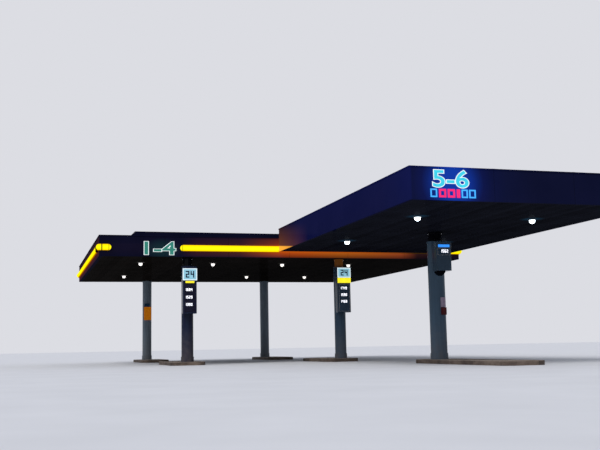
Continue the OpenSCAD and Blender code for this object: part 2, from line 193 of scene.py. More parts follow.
class Shape:
    """Points and faces that grow into one mesh. A face keeps its finish and its piece's tone."""

    def __init__(self):
        self.points = []
        self.faces = []
        self.finishes = []
        self.tones = []
        self.tone = 0.5

    def loft(self, rings, finish=0, closed=False):
        """Skins a row of equal rings. The ends are capped, or joined where the row is closed."""
        start = len(self.points)
        size = len(rings[0])
        for ring in rings:
            self.points.extend(Vector(point) for point in ring)
        for i in range(len(rings) if closed else len(rings) - 1):
            near = start + i * size
            far = start + (i + 1) % len(rings) * size
            for j in range(size):
                k = (j + 1) % size
                self.faces.append((near + j, near + k, far + k, far + j))
        if not closed:
            self.faces.append(tuple(range(start, start + size)))
            self.faces.append(tuple(range(len(self.points) - size, len(self.points))))
        new = len(self.faces) - len(self.finishes)
        self.finishes.extend([finish] * new)
        self.tones.extend([self.tone] * new)

    def block(self, low, high, edge, finish=0):
        """An upright block between two corners, its edges cut back."""
        def ring(z, inset):
            x0, x1 = low[0] + inset, high[0] - inset
            y0, y1 = low[1] + inset, high[1] - inset
            return [(x0 + edge, y0, z), (x1 - edge, y0, z), (x1, y0 + edge, z), (x1, y1 - edge, z),
                    (x1 - edge, y1, z), (x0 + edge, y1, z), (x0, y1 - edge, z), (x0, y0 + edge, z)]
        self.loft([ring(low[2], edge), ring(low[2] + edge, 0), ring(high[2] - edge, 0),
                   ring(high[2], edge)], finish)

    def slab(self, outline, low, high, finish=0):
        """An outline raised from one height to another."""
        self.loft([[(x, y, z) for x, y in outline] for z in (low, high)], finish)

    def stud(self, foot, way, radius, height, finish=0, sides=8):
        """A round or many-sided head that stands on a surface and points away from it."""
        way = Vector(way).normalized()
        across = way.orthogonal().normalized()
        beside = way.cross(across)
        rings = []
        for share, up in ((1.0, -SET_IN), (1.0, height * 0.6), (0.7, height)):
            middle = Vector(foot) + way * up
            rings.append([middle + (across * math.cos(a) + beside * math.sin(a)) * radius * share
                          for a in around(sides)])
        self.loft(rings, finish)


def settled(name, mesh, sharp_from=SHARP_FROM):
    """Makes a mesh into an object that rides on the frame, its sharp edges kept."""
    mesh.shade_smooth()
    mesh.set_sharp_from_angle(angle=sharp_from)
    made = bpy.data.objects.new(name, mesh)
    bpy.context.scene.collection.objects.link(made)
    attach(made, "root")
    return made


def piece(name, shape, materials, place=Matrix.Identity(4), instead_of=None):
    """Makes a shape into one object, which can stand instead of a node of the frame."""
    mesh = bpy.data.meshes.new(name)
    mesh.from_pydata([place @ Vector(point) for point in shape.points], [], shape.faces)
    for material in materials:
        mesh.materials.append(material)
    mesh.polygons.foreach_set("material_index", shape.finishes)
    mesh.attributes.new("tone", "FLOAT", "FACE").data.foreach_set("value", shape.tones)
    work = bmesh.new()
    work.from_mesh(mesh)
    bmesh.ops.remove_doubles(work, verts=work.verts, dist=1e-6)
    bmesh.ops.recalc_face_normals(work, faces=work.faces)
    work.to_mesh(mesh)
    work.free()
    made = settled(name, mesh)
    if instead_of:
        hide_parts(instead_of)


def middle_of(node):
    """The middle of a node of the frame, seen from above."""
    low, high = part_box(node)
    return Vector(((low.x + high.x) / 2, (low.y + high.y) / 2, 0))


def rounded_outline(half_w, front, back, radius):
    """A rectangle seen from above, its corners rounded and its front towards -Y."""
    outline = []
    for cx, cy, start in ((half_w - radius, front + radius, -90), (half_w - radius, back - radius, 0),
                          (-half_w + radius, back - radius, 90), (-half_w + radius, front + radius, 180)):
        outline += [at(radius, math.radians(start + 15 * i), (cx, cy)) for i in range(7)]
    return outline


def parts(length, count, joint):
    """Where the equal parts of a length start and end, with open joints between them."""
    return [(i * length / count + (joint / 2 if i else 0),
             (i + 1) * length / count - (joint / 2 if i < count - 1 else 0)) for i in range(count)]


def clipped(outline, region):
    """The part of an outline inside a convex region. Both run anticlockwise."""
    for i, start in enumerate(region):
        end = region[(i + 1) % len(region)]
        side = [(end[0] - start[0]) * (p[1] - start[1]) - (end[1] - start[1]) * (p[0] - start[0])
                for p in outline]
        kept = []
        for j, point in enumerate(outline):
            k = (j + 1) % len(outline)
            if side[j] >= 0:
                kept.append(point)
            if (side[j] >= 0) != (side[k] >= 0):
                share = side[j] / (side[j] - side[k])
                kept.append(tuple(a + (b - a) * share for a, b in zip(point, outline[k])))
        outline = kept
        if len(outline) < 3:
            return []
    return outline


def kerb_ring(section, centre, angle, radius):
    """A stone's section, stood up at an angle round a corner's centre."""
    return [(*at(radius - inward, angle, centre), z) for inward, z in section]


concrete = new_material("precast_concrete")
# Grey cement with fine grit and blown air holes; the upward faces are painted paler, and rubber darkens the
# faces.
where = add(concrete, "ShaderNodeTexCoord", {})
stone_tone = add(concrete, "ShaderNodeAttribute", {"attribute_name": "tone"})
stain = add(concrete, "ShaderNodeTexNoise", {"Vector": (where, "Object"), "Scale": 2.2, "Detail": 7.0})
stained = add(concrete, "ShaderNodeMath", {
    "operation": "MULTIPLY_ADD", 0: (stone_tone, "Fac"), 1: 0.3, 2: (stain, "Fac")})
body = add(concrete, "ShaderNodeValToRGB", {
    "Fac": (stained, "Value"), "stops": [(0.42, "#362b24"), (0.62, "#4e4138"), (0.85, "#695b50")]})
facing = add(concrete, "ShaderNodeNewGeometry", {})
upward = add(concrete, "ShaderNodeSeparateXYZ", {"Vector": (facing, "Normal")})
# The upward faces are painted paler.
on_top = add(concrete, "ShaderNodeMapRange", {
    "Value": (upward, "Z"), "From Min": 0.7, "From Max": 0.98, "To Max": 0.5})
paler_mix = add(concrete, "ShaderNodeMix", {
    "data_type": "RGBA", 0: (on_top, "Result"), 6: (body, "Color"), 7: linear_rgb("#b3a598")})
rubbed = add(concrete, "ShaderNodeMapping", {"Vector": (where, "Object"), "Scale": (3.0, 3.0, 14.0)})
rubber = add(concrete, "ShaderNodeTexNoise", {"Vector": (rubbed, "Vector"), "Scale": 1.1, "Detail": 5.0})
scuff = add(concrete, "ShaderNodeMapRange", {
    "Value": (rubber, "Fac"), "From Min": 0.48, "From Max": 0.7, "To Min": 0.0, "To Max": 0.75})
side_on = add(concrete, "ShaderNodeMapRange", {
    "Value": (upward, "Z"), "From Min": 0.2, "From Max": 0.8, "To Min": 1.0, "To Max": 0.25})
scuffed = add(concrete, "ShaderNodeMath", {
    "operation": "MULTIPLY", 0: (scuff, "Result"), 1: (side_on, "Result")})
colour = add(concrete, "ShaderNodeMix", {
    "data_type": "RGBA", 0: (scuffed, "Value"), 6: (paler_mix, 2), 7: linear_rgb("#2f2723")})
grit = add(concrete, "ShaderNodeTexNoise", {"Vector": (where, "Object"), "Scale": 160.0, "Detail": 3.0})
holes = add(concrete, "ShaderNodeTexVoronoi", {"Vector": (where, "Object"), "Scale": 45.0})
pits = add(concrete, "ShaderNodeMapRange", {
    "Value": (holes, "Distance"), "From Min": 0.05, "From Max": 0.16})
rough = add(concrete, "ShaderNodeMath", {
    "operation": "MULTIPLY_ADD", 0: (grit, "Fac"), 1: 0.4, 2: (pits, "Result")})
relief = add(concrete, "ShaderNodeBump", {"Height": (rough, "Value"), "Strength": 0.6, "Distance": 0.004})
shader = add(concrete, "ShaderNodeBsdfPrincipled", {
    "Base Color": (colour, 2), "Roughness": 0.88, "Normal": (relief, "Normal")})
add(concrete, "ShaderNodeOutputMaterial", {"Surface": (shader, "BSDF")})

sand = new_material("jointing_sand")
# Damp grey-brown sand and mortar in the joints, darker than the stones.
where = add(sand, "ShaderNodeTexCoord", {})
grain = add(sand, "ShaderNodeTexNoise", {"Vector": (where, "Object"), "Scale": 300.0, "Detail": 2.0})
body = add(sand, "ShaderNodeValToRGB", {
    "Fac": (grain, "Fac"), "stops": [(0.35, "#3b332b"), (0.65, "#5c5144")]})
relief = add(sand, "ShaderNodeBump", {"Height": (grain, "Fac"), "Strength": 0.5, "Distance": 0.002})
shader = add(sand, "ShaderNodeBsdfPrincipled", {
    "Base Color": (body, "Color"), "Roughness": 0.95, "Normal": (relief, "Normal")})
add(sand, "ShaderNodeOutputMaterial", {"Surface": (shader, "BSDF")})

chance = random.Random(11)
QUARTERS = ((1, -1), (1, 1), (-1, 1), (-1, -1))
for name in [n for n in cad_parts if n.startswith("island")]:
    low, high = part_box(name)
    half_w = (high.x - low.x) / 2
    half_l = (high.y - low.y) / 2
    height = high.z
    turns = [(sx * (half_w - CORNER_R), sy * (half_l - CORNER_R)) for sx, sy in QUARTERS]
    section = [(0, 0), (0, height - KERB_NOSE), (KERB_BEVEL, height - KERB_BEVEL), (KERB_NOSE, height),
               (KERB_W - KERB_BACK, height), (KERB_W, height - KERB_BACK), (KERB_W, 0)]
    mortar = [(MORTAR_IN, 0), (MORTAR_IN, height - MORTAR_NOSE), (MORTAR_NOSE, height - MORTAR_IN),
              (KERB_W - MORTAR_IN, height - MORTAR_IN), (KERB_W - MORTAR_IN, 0)]
    kerb = Shape()
    mortar_rings = []
    for i, turn in enumerate(turns):
        start = math.radians(90 * i - 90)
        gap = STONE_JOINT / 2 / CORNER_R
        bend = math.pi / 2 - 2 * gap
        angles = [start + gap + bend * j / CORNER_STEPS for j in range(CORNER_STEPS + 1)]
        kerb.tone = chance.random()
        kerb.loft([kerb_ring(section, turn, angle, CORNER_R) for angle in angles])
        mortar_rings += [kerb_ring(mortar, turn, angle, CORNER_R) for angle in angles]
        follow = turns[(i + 1) % 4]
        length = math.dist(turn, follow)
        count = max(1, round(length / STONE_L))
        for j in range(count):
            kerb.tone = chance.random()
            ends = []
            for along in (j * length / count + STONE_JOINT / 2, (j + 1) * length / count - STONE_JOINT / 2):
                centre = [a + (b - a) * along / length for a, b in zip(turn, follow)]
                ends.append(kerb_ring(section, centre, start + math.pi / 2, CORNER_R))
            kerb.loft(ends)
    kerb.loft(mortar_rings, 1, closed=True)
    middle = Matrix.Translation(middle_of(name))
    piece(name + "_kerb", kerb, [concrete, sand], middle, name)

    inner_w = half_w - KERB_W
    inner_l = half_l - KERB_W
    region = rounded_outline(inner_w, -inner_l, inner_l, CORNER_R - KERB_W)
    top = height - KERB_STEP
    paving = Shape()
    paving.slab(region, BED_FOOT, top - BED_DOWN, 1)
    for row in range(math.ceil(2 * inner_l / BLOCK_W)):
        y = -inner_l + row * BLOCK_W
        for column in range(math.ceil(2 * inner_w / BLOCK_L) + 1):
            x = -inner_w - BLOCK_L / 2 * (row % 2) + column * BLOCK_L
            far_x = x + BLOCK_L - BLOCK_JOINT
            far_y = y + BLOCK_W - BLOCK_JOINT
            outline = clipped([(x, y), (far_x, y), (far_x, far_y), (x, far_y)], region)
            if not outline:
                continue
            centre = [sum(values) / len(outline) for values in zip(*outline)]
            face = [[c + (p - c) * BLOCK_FACE for p, c in zip(point, centre)] for point in outline]
            up = top - chance.random() * BLOCK_UNEVEN
            paving.tone = chance.random()
            paving.loft([[(px, py, top - BLOCK_DEPTH) for px, py in outline],
                         [(px, py, up - BLOCK_EDGE) for px, py in outline],
                         [(px, py, up) for px, py in face]])
    piece(name + "_paving", paving, [concrete, sand], middle, name)


# The columns: each is a steel tube cased in two half shells of enamelled sheet, which meet at
# the sides in open joints. A skirt closes the foot and a collar closes the soffit's hole. On the
# columns with boards the casing ends short of the soffit, and the tube and its collar show as a neck painted
# near black as painted shade.
SHELL_T = 0.004
SHELL_CLEAR = 0.0005
SHELL_JOINT = 0.006
SHELL_EDGE = 0.004
SHELL_STEPS = 48
SLEEVE_T = 0.022
SKIRT_H = 0.24
COLLAR_H = 0.07
NECK_H = 0.37
NECK_IN = 0.065
# The neck's tone paints it near black, as painted shade.
NECK_SHADE_TONE = -0.5
CASING_PAST = 0.01
CORE_IN = 0.009
CORE_DOWN = 0.006
CORE_SIDES = 64
FIXING_SWING = 0.07
RIVET_START = 0.15
RIVET_CLEAR = 0.05
RIVET_PITCH = 0.45
RIVET = (0.006, 0.003)
SCREW = (0.009, 0.005)
SCREW_IN = 0.05
# Each column's tone paints its enamel lighter or darker, as painted light and shade.
COLUMN_SHADE_TONES = {"column_front_left": 0.0, "column_rear_left": 0.88, "column_front_right": 0.38,
                "column_rear_right": 0.85, "column_wing": 0.62}
NECK_INS = {name: 0.0 if "rear" in name else NECK_IN for name in COLUMN_SHADE_TONES}


def reach_of(column):
    """The radius of a column's casing, without its skirt and collar."""
    low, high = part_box(column)
    return (high.x - low.x) / 2 - SLEEVE_T


enamel = new_material("column_enamel")
# Grey-blue gloss enamel with the faint orange peel of spraying. Each column's tone paints its enamel
# lighter or darker as painted light and shade, and dust greys the lowest metre. The light band spills amber
# on one column's end.
where = add(enamel, "ShaderNodeTexCoord", {})
place = add(enamel, "ShaderNodeSeparateXYZ", {"Vector": (where, "Object")})
stretch = add(enamel, "ShaderNodeMapping", {"Vector": (where, "Object"), "Scale": (7.0, 7.0, 0.45)})
runs = add(enamel, "ShaderNodeTexNoise", {"Vector": (stretch, "Vector"), "Scale": 1.6, "Detail": 5.0})
column_shade_tone = add(enamel, "ShaderNodeAttribute", {"attribute_name": "tone"})
streaks_and_shade = add(enamel, "ShaderNodeMath", {
    "operation": "MULTIPLY_ADD", 0: (runs, "Fac"), 1: 0.24, 2: (column_shade_tone, "Fac")})
tint = add(enamel, "ShaderNodeValToRGB", {
    "Fac": (streaks_and_shade, "Value"),
    "stops": [(0.0, "#07070d"), (0.04, "#11112a"), (0.4, "#243646"), (0.66, "#3c4e5e"), (0.8, "#475c6e"),
              (1.0, "#6c7780")]})
low_down = add(enamel, "ShaderNodeMapRange", {
    "Value": (place, "Z"), "From Min": 0.15, "From Max": 1.7, "To Min": 0.85, "To Max": 0.0})
speckle = add(enamel, "ShaderNodeTexNoise", {"Vector": (where, "Object"), "Scale": 5.0, "Detail": 8.0})
paler_mix = add(enamel, "ShaderNodeMath", {
    "operation": "MULTIPLY", 0: (low_down, "Result"), 1: (speckle, "Fac")})
colour = add(enamel, "ShaderNodeMix", {
    "data_type": "RGBA", 0: (paler_mix, "Value"), 6: (tint, "Color"), 7: linear_rgb("#5b5350")})
shine = add(enamel, "ShaderNodeMapRange", {
    "Value": (paler_mix, "Value"), "From Max": 0.5, "To Min": 0.16, "To Max": 0.5})
peel = add(enamel, "ShaderNodeTexNoise", {"Vector": (where, "Object"), "Scale": 220.0})
relief = add(enamel, "ShaderNodeBump", {"Height": (peel, "Fac"), "Strength": 0.12, "Distance": 0.001})
head = middle_of("column_front_right") + Vector((0, 0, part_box("main_soffit")[0].z))
beneath = add(enamel, "ShaderNodeVectorMath", {"operation": "DISTANCE", 0: (where, "Object"), 1: head})
amber_end = add(enamel, "ShaderNodeMapRange", {
    "Value": (beneath, "Value"), "From Min": 0.3, "From Max": 0.5, "To Min": 1.0, "To Max": 0.0})
shader = add(enamel, "ShaderNodeBsdfPrincipled", {
    "Base Color": (colour, 2), "Roughness": (shine, "Result"), "Specular IOR Level": 0.08,
    "Emission Color": linear_rgb("#46280a"), "Emission Strength": (amber_end, "Result"),
    "Normal": (relief, "Normal")})
add(enamel, "ShaderNodeOutputMaterial", {"Surface": (shader, "BSDF")})

# Moulded black rubber in the joints, matt, with chalky bloom.
gasket = cloudy("black_rubber_gasket", 30.0, 4.0, [(0.3, "#08080a"), (0.75, "#131316")],
                {"Roughness": 0.8, "Specular IOR Level": 0.2})

# Brushed stainless screws and rivets, a little dulled by weather.
stainless = cloudy("stainless_fixings", 80.0, 2.0, [(0.3, "#7d7d80"), (0.7, "#a6a6a8")],
                   {"Metallic": 1.0, "Roughness": 0.4})


def half_shells(shape, inner, outer, low, high):
    """Two half tubes that meet at the sides, with an open joint between them."""
    edge = min(SHELL_EDGE, (outer - inner) / 2)
    profile = [(inner, low), (outer - edge, low), (outer, low + edge), (outer, high - edge),
               (outer - edge, high), (inner, high)]
    gap = SHELL_JOINT / 2 / outer
    for half in (0, math.pi):
        angles = [half + gap + (math.pi - 2 * gap) * i / SHELL_STEPS for i in range(SHELL_STEPS + 1)]
        shape.loft([[(*at(r, angle), z) for r, z in profile] for angle in angles])


for name, shade_tone in COLUMN_SHADE_TONES.items():
    low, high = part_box(name)
    reach = reach_of(name)
    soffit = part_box("wing_soffit" if name == "column_wing" else "main_soffit")[0].z
    slim = NECK_INS[name]
    neck = soffit - NECK_H if slim else soffit + CASING_PAST
    column = Shape()
    column.tone = shade_tone
    half_shells(column, reach - SHELL_T, reach, low.z, neck)
    half_shells(column, reach + SHELL_CLEAR, reach + SLEEVE_T, low.z, low.z + SKIRT_H)
    column.tone = NECK_SHADE_TONE if slim else shade_tone
    half_shells(column, reach - slim + SHELL_CLEAR, reach - slim + SLEEVE_T, soffit - COLLAR_H, soffit)
    core_top = neck - CORE_DOWN
    for inset, foot, top, finish in ((CORE_IN, low.z, core_top, 1), (slim or CORE_IN, core_top, high.z, 0)):
        column.slab([at(reach - inset, angle) for angle in around(CORE_SIDES)], foot, top, finish)
    for side in (0, math.pi):
        for swing in (side - FIXING_SWING, side + FIXING_SWING):
            way = Vector((*at(1, swing), 0))
            first = low.z + SKIRT_H + RIVET_START
            for i in range(int((neck - first - RIVET_CLEAR) / RIVET_PITCH) + 1):
                column.stud(way * reach + Vector((0, 0, first + i * RIVET_PITCH)), way, *RIVET, 2)
            for up, inset in ((low.z + SCREW_IN, 0), (low.z + SKIRT_H - SCREW_IN, 0),
                              (soffit - COLLAR_H / 2, slim)):
                column.stud(way * (reach - inset + SLEEVE_T) + Vector((0, 0, up)), way, *SCREW, 2)
    middle = Matrix.Translation(middle_of(name))
    piece(name + "_casing", column, [enamel, gasket, stainless], middle, name)


# The frame above the soffits: rolled beams on the columns and cold-formed purlins across
# them, hot-dip galvanised, which gives a pale grey with the zinc's faint flowers.
def dress(node, material):
    """Gives a node of the frame its material."""
    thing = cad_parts[node]
    thing.data.materials.clear()
    thing.data.materials.append(material)


zinc = new_material("galvanised_steel")
where = add(zinc, "ShaderNodeTexCoord", {})
flowers = add(zinc, "ShaderNodeTexVoronoi", {"Vector": (where, "Object"), "Scale": 60.0})
body = add(zinc, "ShaderNodeValToRGB", {
    "Fac": (flowers, "Color"), "stops": [(0.0, "#868b91"), (1.0, "#a4a9ae")]})
shader = add(zinc, "ShaderNodeBsdfPrincipled", {
    "Base Color": (body, "Color"), "Metallic": 0.85, "Roughness": 0.5})
add(zinc, "ShaderNodeOutputMaterial", {"Surface": (shader, "BSDF")})
for name in ("main_beam_left", "main_beam_right", "main_cross_beams", "main_purlins",
             "wing_beam", "wing_cross_beams", "wing_purlins"):
    dress(name, zinc)


# The roofs: ribbed steel sheets, coil coated in pale grey, which has chalked. Screws with
# sealing washers hold every valley to the purlins, and the ribs' steep faces are painted darker.
RIB_PITCH = 0.333
RIB_FOOT = 0.12
SHEET_T = 0.008
PURLIN_W = 0.08
PURLIN_PITCH = 2.6
WASHER = (0.011, 0.003)
HEAD = (0.006, 0.006)
HEAD_UP = 0.0025

sheet_coat = new_material("coated_roof_sheet")
where = add(sheet_coat, "ShaderNodeTexCoord", {})
patches = add(sheet_coat, "ShaderNodeTexNoise", {"Vector": (where, "Object"), "Scale": 0.35, "Detail": 6.0})
specks = add(sheet_coat, "ShaderNodeTexNoise", {"Vector": (where, "Object"), "Scale": 7.0, "Detail": 6.0})
dirt = add(sheet_coat, "ShaderNodeMath", {
    "operation": "MULTIPLY_ADD", 0: (specks, "Fac"), 1: 0.5, 2: (patches, "Fac")})
facing = add(sheet_coat, "ShaderNodeNewGeometry", {})
upward = add(sheet_coat, "ShaderNodeSeparateXYZ", {"Vector": (facing, "Normal")})
body = add(sheet_coat, "ShaderNodeValToRGB", {
    "Fac": (dirt, "Value"), "stops": [(0.5, "#7b8082"), (0.75, "#929799"), (0.98, "#a2a7a9")]})
# The ribs' steep faces are painted darker.
steep_darkening = add(sheet_coat, "ShaderNodeMapRange", {
    "Value": (upward, "Z"), "From Min": 0.8, "From Max": 1.0, "To Min": 0.6, "To Max": 0.0})
colour = add(sheet_coat, "ShaderNodeMix", {
    "data_type": "RGBA", 0: (steep_darkening, "Result"), 6: (body, "Color"), 7: linear_rgb("#55524c")})
shader = add(sheet_coat, "ShaderNodeBsdfPrincipled", {
    "Base Color": (colour, 2), "Roughness": 0.55, "Metallic": 0.1})
add(sheet_coat, "ShaderNodeOutputMaterial", {"Surface": (shader, "BSDF")})

for deck, turned_ribs in (("main", False), ("wing", True)):
    node = deck + "_roof_sheet"
    dress(node, sheet_coat)
    low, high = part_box(node)
    across = (low.y, high.y) if turned_ribs else (low.x, high.x)
    along = (low.x, high.x) if turned_ribs else (low.y, high.y)
    ribs = int((across[1] - across[0] - RIB_FOOT) / RIB_PITCH)
    first = across[0] + (across[1] - across[0] - (ribs - 1) * RIB_PITCH) / 2
    bays = math.ceil((along[1] - along[0] - PURLIN_W) / PURLIN_PITCH)
    step = (along[1] - along[0] - PURLIN_W) / bays
    screws = Shape()
    for i in range(bays + 1):
        for j in range(ribs - 1):
            spot = [first + (j + 0.5) * RIB_PITCH, along[0] + PURLIN_W / 2 + i * step]
            if turned_ribs:
                spot.reverse()
            foot = Vector((spot[0], spot[1], low.z + SHEET_T))
            screws.stud(foot, (0, 0, 1), *WASHER, 1)
            screws.stud(foot + Vector((0, 0, HEAD_UP)), (0, 0, 1), *HEAD, 0, 6)
    piece(deck + "_roof_screws", screws, [stainless, gasket])


# The soffits: coil-coated steel planks hung edge to edge under the frame, with a narrow
# shadow gap between them and round each column. They are black and only faintly glossy.
PLANK_W = 0.3
PLANK_GAP = 0.008
PLANK_T = 0.012
COLUMN_GAP = 0.006
RIM_STEPS = 12
LAMP_D = 0.28
POOL_IN = 0.05
LAMP_GRIDS = {"main_lamps": ((4, 3.45), (2, 7.6)), "wing_lamps": ((2, 4.43), (2, 7.18))}


def lamp_middles(node):
    """Where the middles of a deck's lamps meet its soffit."""
    low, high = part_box(node)
    (columns, pitch_x), (rows, pitch_y) = LAMP_GRIDS[node]
    return [Vector((low.x + LAMP_D / 2 + i * pitch_x, low.y + LAMP_D / 2 + j * pitch_y, high.z))
            for i in range(columns) for j in range(rows)]


def soffit_paint(name, dark, light, lamps, reach, strength, colour):
    """Near-black polyester paint with a thin clear coat, lit in a soft pool round each lamp."""
    made = new_material(name)
    where = add(made, "ShaderNodeTexCoord", {})
    plank_tone = add(made, "ShaderNodeAttribute", {"attribute_name": "tone"})
    haze = add(made, "ShaderNodeTexNoise", {"Vector": (where, "Object"), "Scale": 0.9, "Detail": 5.0})
    mixed = add(made, "ShaderNodeMath", {
        "operation": "MULTIPLY_ADD", 0: (plank_tone, "Fac"), 1: 0.35, 2: (haze, "Fac")})
    body = add(made, "ShaderNodeValToRGB", {
        "Fac": (mixed, "Value"), "stops": [(0.4, dark), (0.9, light)]})
    nearest = None
    for middle in lamp_middles(lamps):
        away = add(made, "ShaderNodeVectorMath", {"operation": "DISTANCE", 0: (where, "Object"), 1: middle})
        if nearest:
            away = add(made, "ShaderNodeMath", {
                "operation": "MINIMUM", 0: (nearest, "Value"), 1: (away, "Value")})
        nearest = away
    pool = add(made, "ShaderNodeMapRange", {
        "interpolation_type": "SMOOTHSTEP", "Value": (nearest, "Value"),
        "From Min": LAMP_D / 2 - POOL_IN, "From Max": reach, "To Min": strength, "To Max": 0.0})
    coat = add(made, "ShaderNodeBsdfPrincipled", {
        "Base Color": (body, "Color"), "Roughness": 0.6, "Specular IOR Level": 0.0,
        "Coat Weight": 0.004, "Coat Roughness": 0.14,
        "Emission Color": linear_rgb(colour), "Emission Strength": (pool, "Result")})
    add(made, "ShaderNodeOutputMaterial", {"Surface": (coat, "BSDF")})
    return made


SOFFIT_PAINTS = {
    "main": soffit_paint("coated_soffit_plank", "#120f0d", "#1b1816", "main_lamps", 0.26, 0.06, "#b0a890"),
    "wing": soffit_paint("blue_lit_soffit_plank", "#12131a", "#1b1d26", "wing_lamps", 0.5, 0.14, "#1f6a90")}


def rim(x, hole, side):
    """Where a hole's rim lies before (-1) or behind (1) its centre, at a place across it."""
    squared = hole[2] ** 2 - (x - hole[0]) ** 2
    return hole[1] + side * math.sqrt(squared) if squared > 0 else hole[1]


for deck in ("main", "wing"):
    node = deck + "_soffit"
    low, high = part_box(node)
    holes = []
    for name in COLUMN_SHADE_TONES:
        if (name == "column_wing") == (deck == "wing"):
            centre = middle_of(name)
            holes.append((centre.x, centre.y, reach_of(name) - NECK_INS[name] + COLUMN_GAP))
    face = low.z + PLANK_T
    planks = Shape()
    planks.slab([(low.x, low.y), (high.x, low.y), (high.x, high.y), (low.x, high.y)], face, high.z, 1)
    width = high.x - low.x
    for start, end in parts(width, round(width / PLANK_W), PLANK_GAP):
        left = low.x + start
        right = low.x + end
        planks.tone = chance.random()
        edge = [(left, low.y), (right, low.y)]
        met = [h for h in holes if left < h[0] + h[2] and right > h[0] - h[2]]
        for hole in sorted(met, key=lambda h: h[1]):
            steps = [right + (left - right) * j / RIM_STEPS for j in range(RIM_STEPS + 1)]
            planks.slab(edge + [(x, rim(x, hole, -1)) for x in steps], low.z, face)
            edge = [(x, rim(x, hole, 1)) for x in steps[::-1]]
        planks.slab(edge + [(right, high.y), (left, high.y)], low.z, face)
    piece(deck + "_soffit_planks", planks, [SOFFIT_PAINTS[deck], gasket], instead_of=node)


# The fascias: cassettes folded from aluminium composite panel and coated dark navy, hung on
# the frame edge to edge with open joints. The wing's are the newer and glossier ones. A folded
# coping in the same paint caps them, with a cover plate over each of its joints.
PANEL_T = 0.05
CASSETTE_L = 3.0
CASSETTE_JOINT = 0.01
RETURN_W = 0.15
RETURN_T = 0.03
FOLD = 0.004
BACKING_IN = 0.014
BACKING_UP = 0.012
COPING_T = 0.028
COPING_CLEAR = 0.002
DRIP_H = 0.045
DRIP_T = 0.008
COVER_W = 0.12
COVER_SCREW_OUT = 0.04
COVER_SCREW = (0.005, 0.0022)


def composite(name, dark, light, gloss):
    """Coated composite panel: even colour, a slight waviness and a thin clear coat.

    Gives the material, its coordinates and its shader, so that a light's spill can be added."""
    made = new_material(name)
    where = add(made, "ShaderNodeTexCoord", {})
    panel_tone = add(made, "ShaderNodeAttribute", {"attribute_name": "tone"})
    cloud = add(made, "ShaderNodeTexNoise", {"Vector": (where, "Object"), "Scale": 0.7, "Detail": 4.0})
    mixed = add(made, "ShaderNodeMath", {
        "operation": "MULTIPLY_ADD", 0: (panel_tone, "Fac"), 1: 0.3, 2: (cloud, "Fac")})
    body = add(made, "ShaderNodeValToRGB", {"Fac": (mixed, "Value"), "stops": [(0.4, dark), (0.85, light)]})
    waves = add(made, "ShaderNodeTexNoise", {"Vector": (where, "Object"), "Scale": 1.6})
    relief = add(made, "ShaderNodeBump", {"Height": (waves, "Fac"), "Strength": 0.15, "Distance": 0.02})
    coat = add(made, "ShaderNodeBsdfPrincipled", {
        "Base Color": (body, "Color"), "Roughness": 0.5, "Specular IOR Level": 0.0,
        "Coat Weight": gloss, "Coat Roughness": 0.12, "Normal": (relief, "Normal")})
    add(made, "ShaderNodeOutputMaterial", {"Surface": (coat, "BSDF")})
    return made, where, coat


def light_outer_faces(made, where, coat, spill, deck):
    """Lets a spill of light show on a deck's outer faces only, not behind its panels."""
    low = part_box(deck + "_fascia_front")[0]
    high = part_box(deck + "_fascia_rear")[1]
    place = add(made, "ShaderNodeVectorMath", {
        "operation": "SUBTRACT", 0: (where, "Object"), 1: (low + high) / 2})
    place = add(made, "ShaderNodeVectorMath", {"operation": "ABSOLUTE", 0: (place, "Vector")})
    place = add(made, "ShaderNodeVectorMath", {
        "operation": "SUBTRACT", 0: (place, "Vector"), 1: (high - low) / 2})
    past = add(made, "ShaderNodeSeparateXYZ", {"Vector": (place, "Vector")})
    past = add(made, "ShaderNodeMath", {"operation": "MAXIMUM", 0: (past, "X"), 1: (past, "Y")})
    shown = add(made, "ShaderNodeMapRange", {
        "Value": (past, "Value"), "From Min": -COPING_OUT - 0.04, "From Max": -COPING_OUT - 0.03})
    made.node_tree.links.new(spill.outputs[2], coat.inputs["Emission Color"])
    made.node_tree.links.new(shown.outputs["Result"], coat.inputs["Emission Strength"])


main_panel, where, coat = composite("main_composite_panel", "#0b0d20", "#101127", 0.01)
# The light band's amber spill is painted over the panels above and below it. It is strongest in
# front, where the wing's soffit throws it back. Round the lit sign a teal glow is painted.
low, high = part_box("main_fascia_front")
band_low, band_high = [corner.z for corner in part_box("band_front_long")]
place = add(main_panel, "ShaderNodeSeparateXYZ", {"Vector": (where, "Object")})
up = add(main_panel, "ShaderNodeMapRange", {
    "Value": (place, "Z"), "From Min": band_low - 0.25, "From Max": band_high + 0.4})
spread = add(main_panel, "ShaderNodeValToRGB", {
    "Fac": (up, "Result"),
    "stops": [(0.009, "#000000"), (0.018, "#909090"), (0.27, "#ffffff"), (0.57, "#ffffff"),
              (0.66, "#a8a8a8"), (0.85, "#8c8c8c"), (0.93, "#606060"), (0.98, "#000000")]})
along = add(main_panel, "ShaderNodeMapRange", {
    "Value": (place, "X"), "From Min": low.x, "From Max": high.x})
amber = add(main_panel, "ShaderNodeValToRGB", {
    "Fac": (along, "Result"),
    "stops": [(0.0, "#080303"), (0.21, "#080303"), (0.25, "#38120a"), (0.365, "#4c2004"),
              (0.4, "#743002"), (0.435, "#943a00"), (0.47, "#b04400"), (0.53, "#b44a06"),
              (0.64, "#aa560c"), (0.73, "#a04e0c"), (0.82, "#904016"), (0.87, "#2b140c"), (1.0, "#140606")]})
elsewhere = add(main_panel, "ShaderNodeMapRange", {
    "Value": (place, "Y"), "From Min": low.y + 0.06, "From Max": low.y + 0.18})
spill = add(main_panel, "ShaderNodeMix", {
    "data_type": "RGBA", 0: (elsewhere, "Result"), 6: (amber, "Color"), 7: linear_rgb("#4c1a0e")})
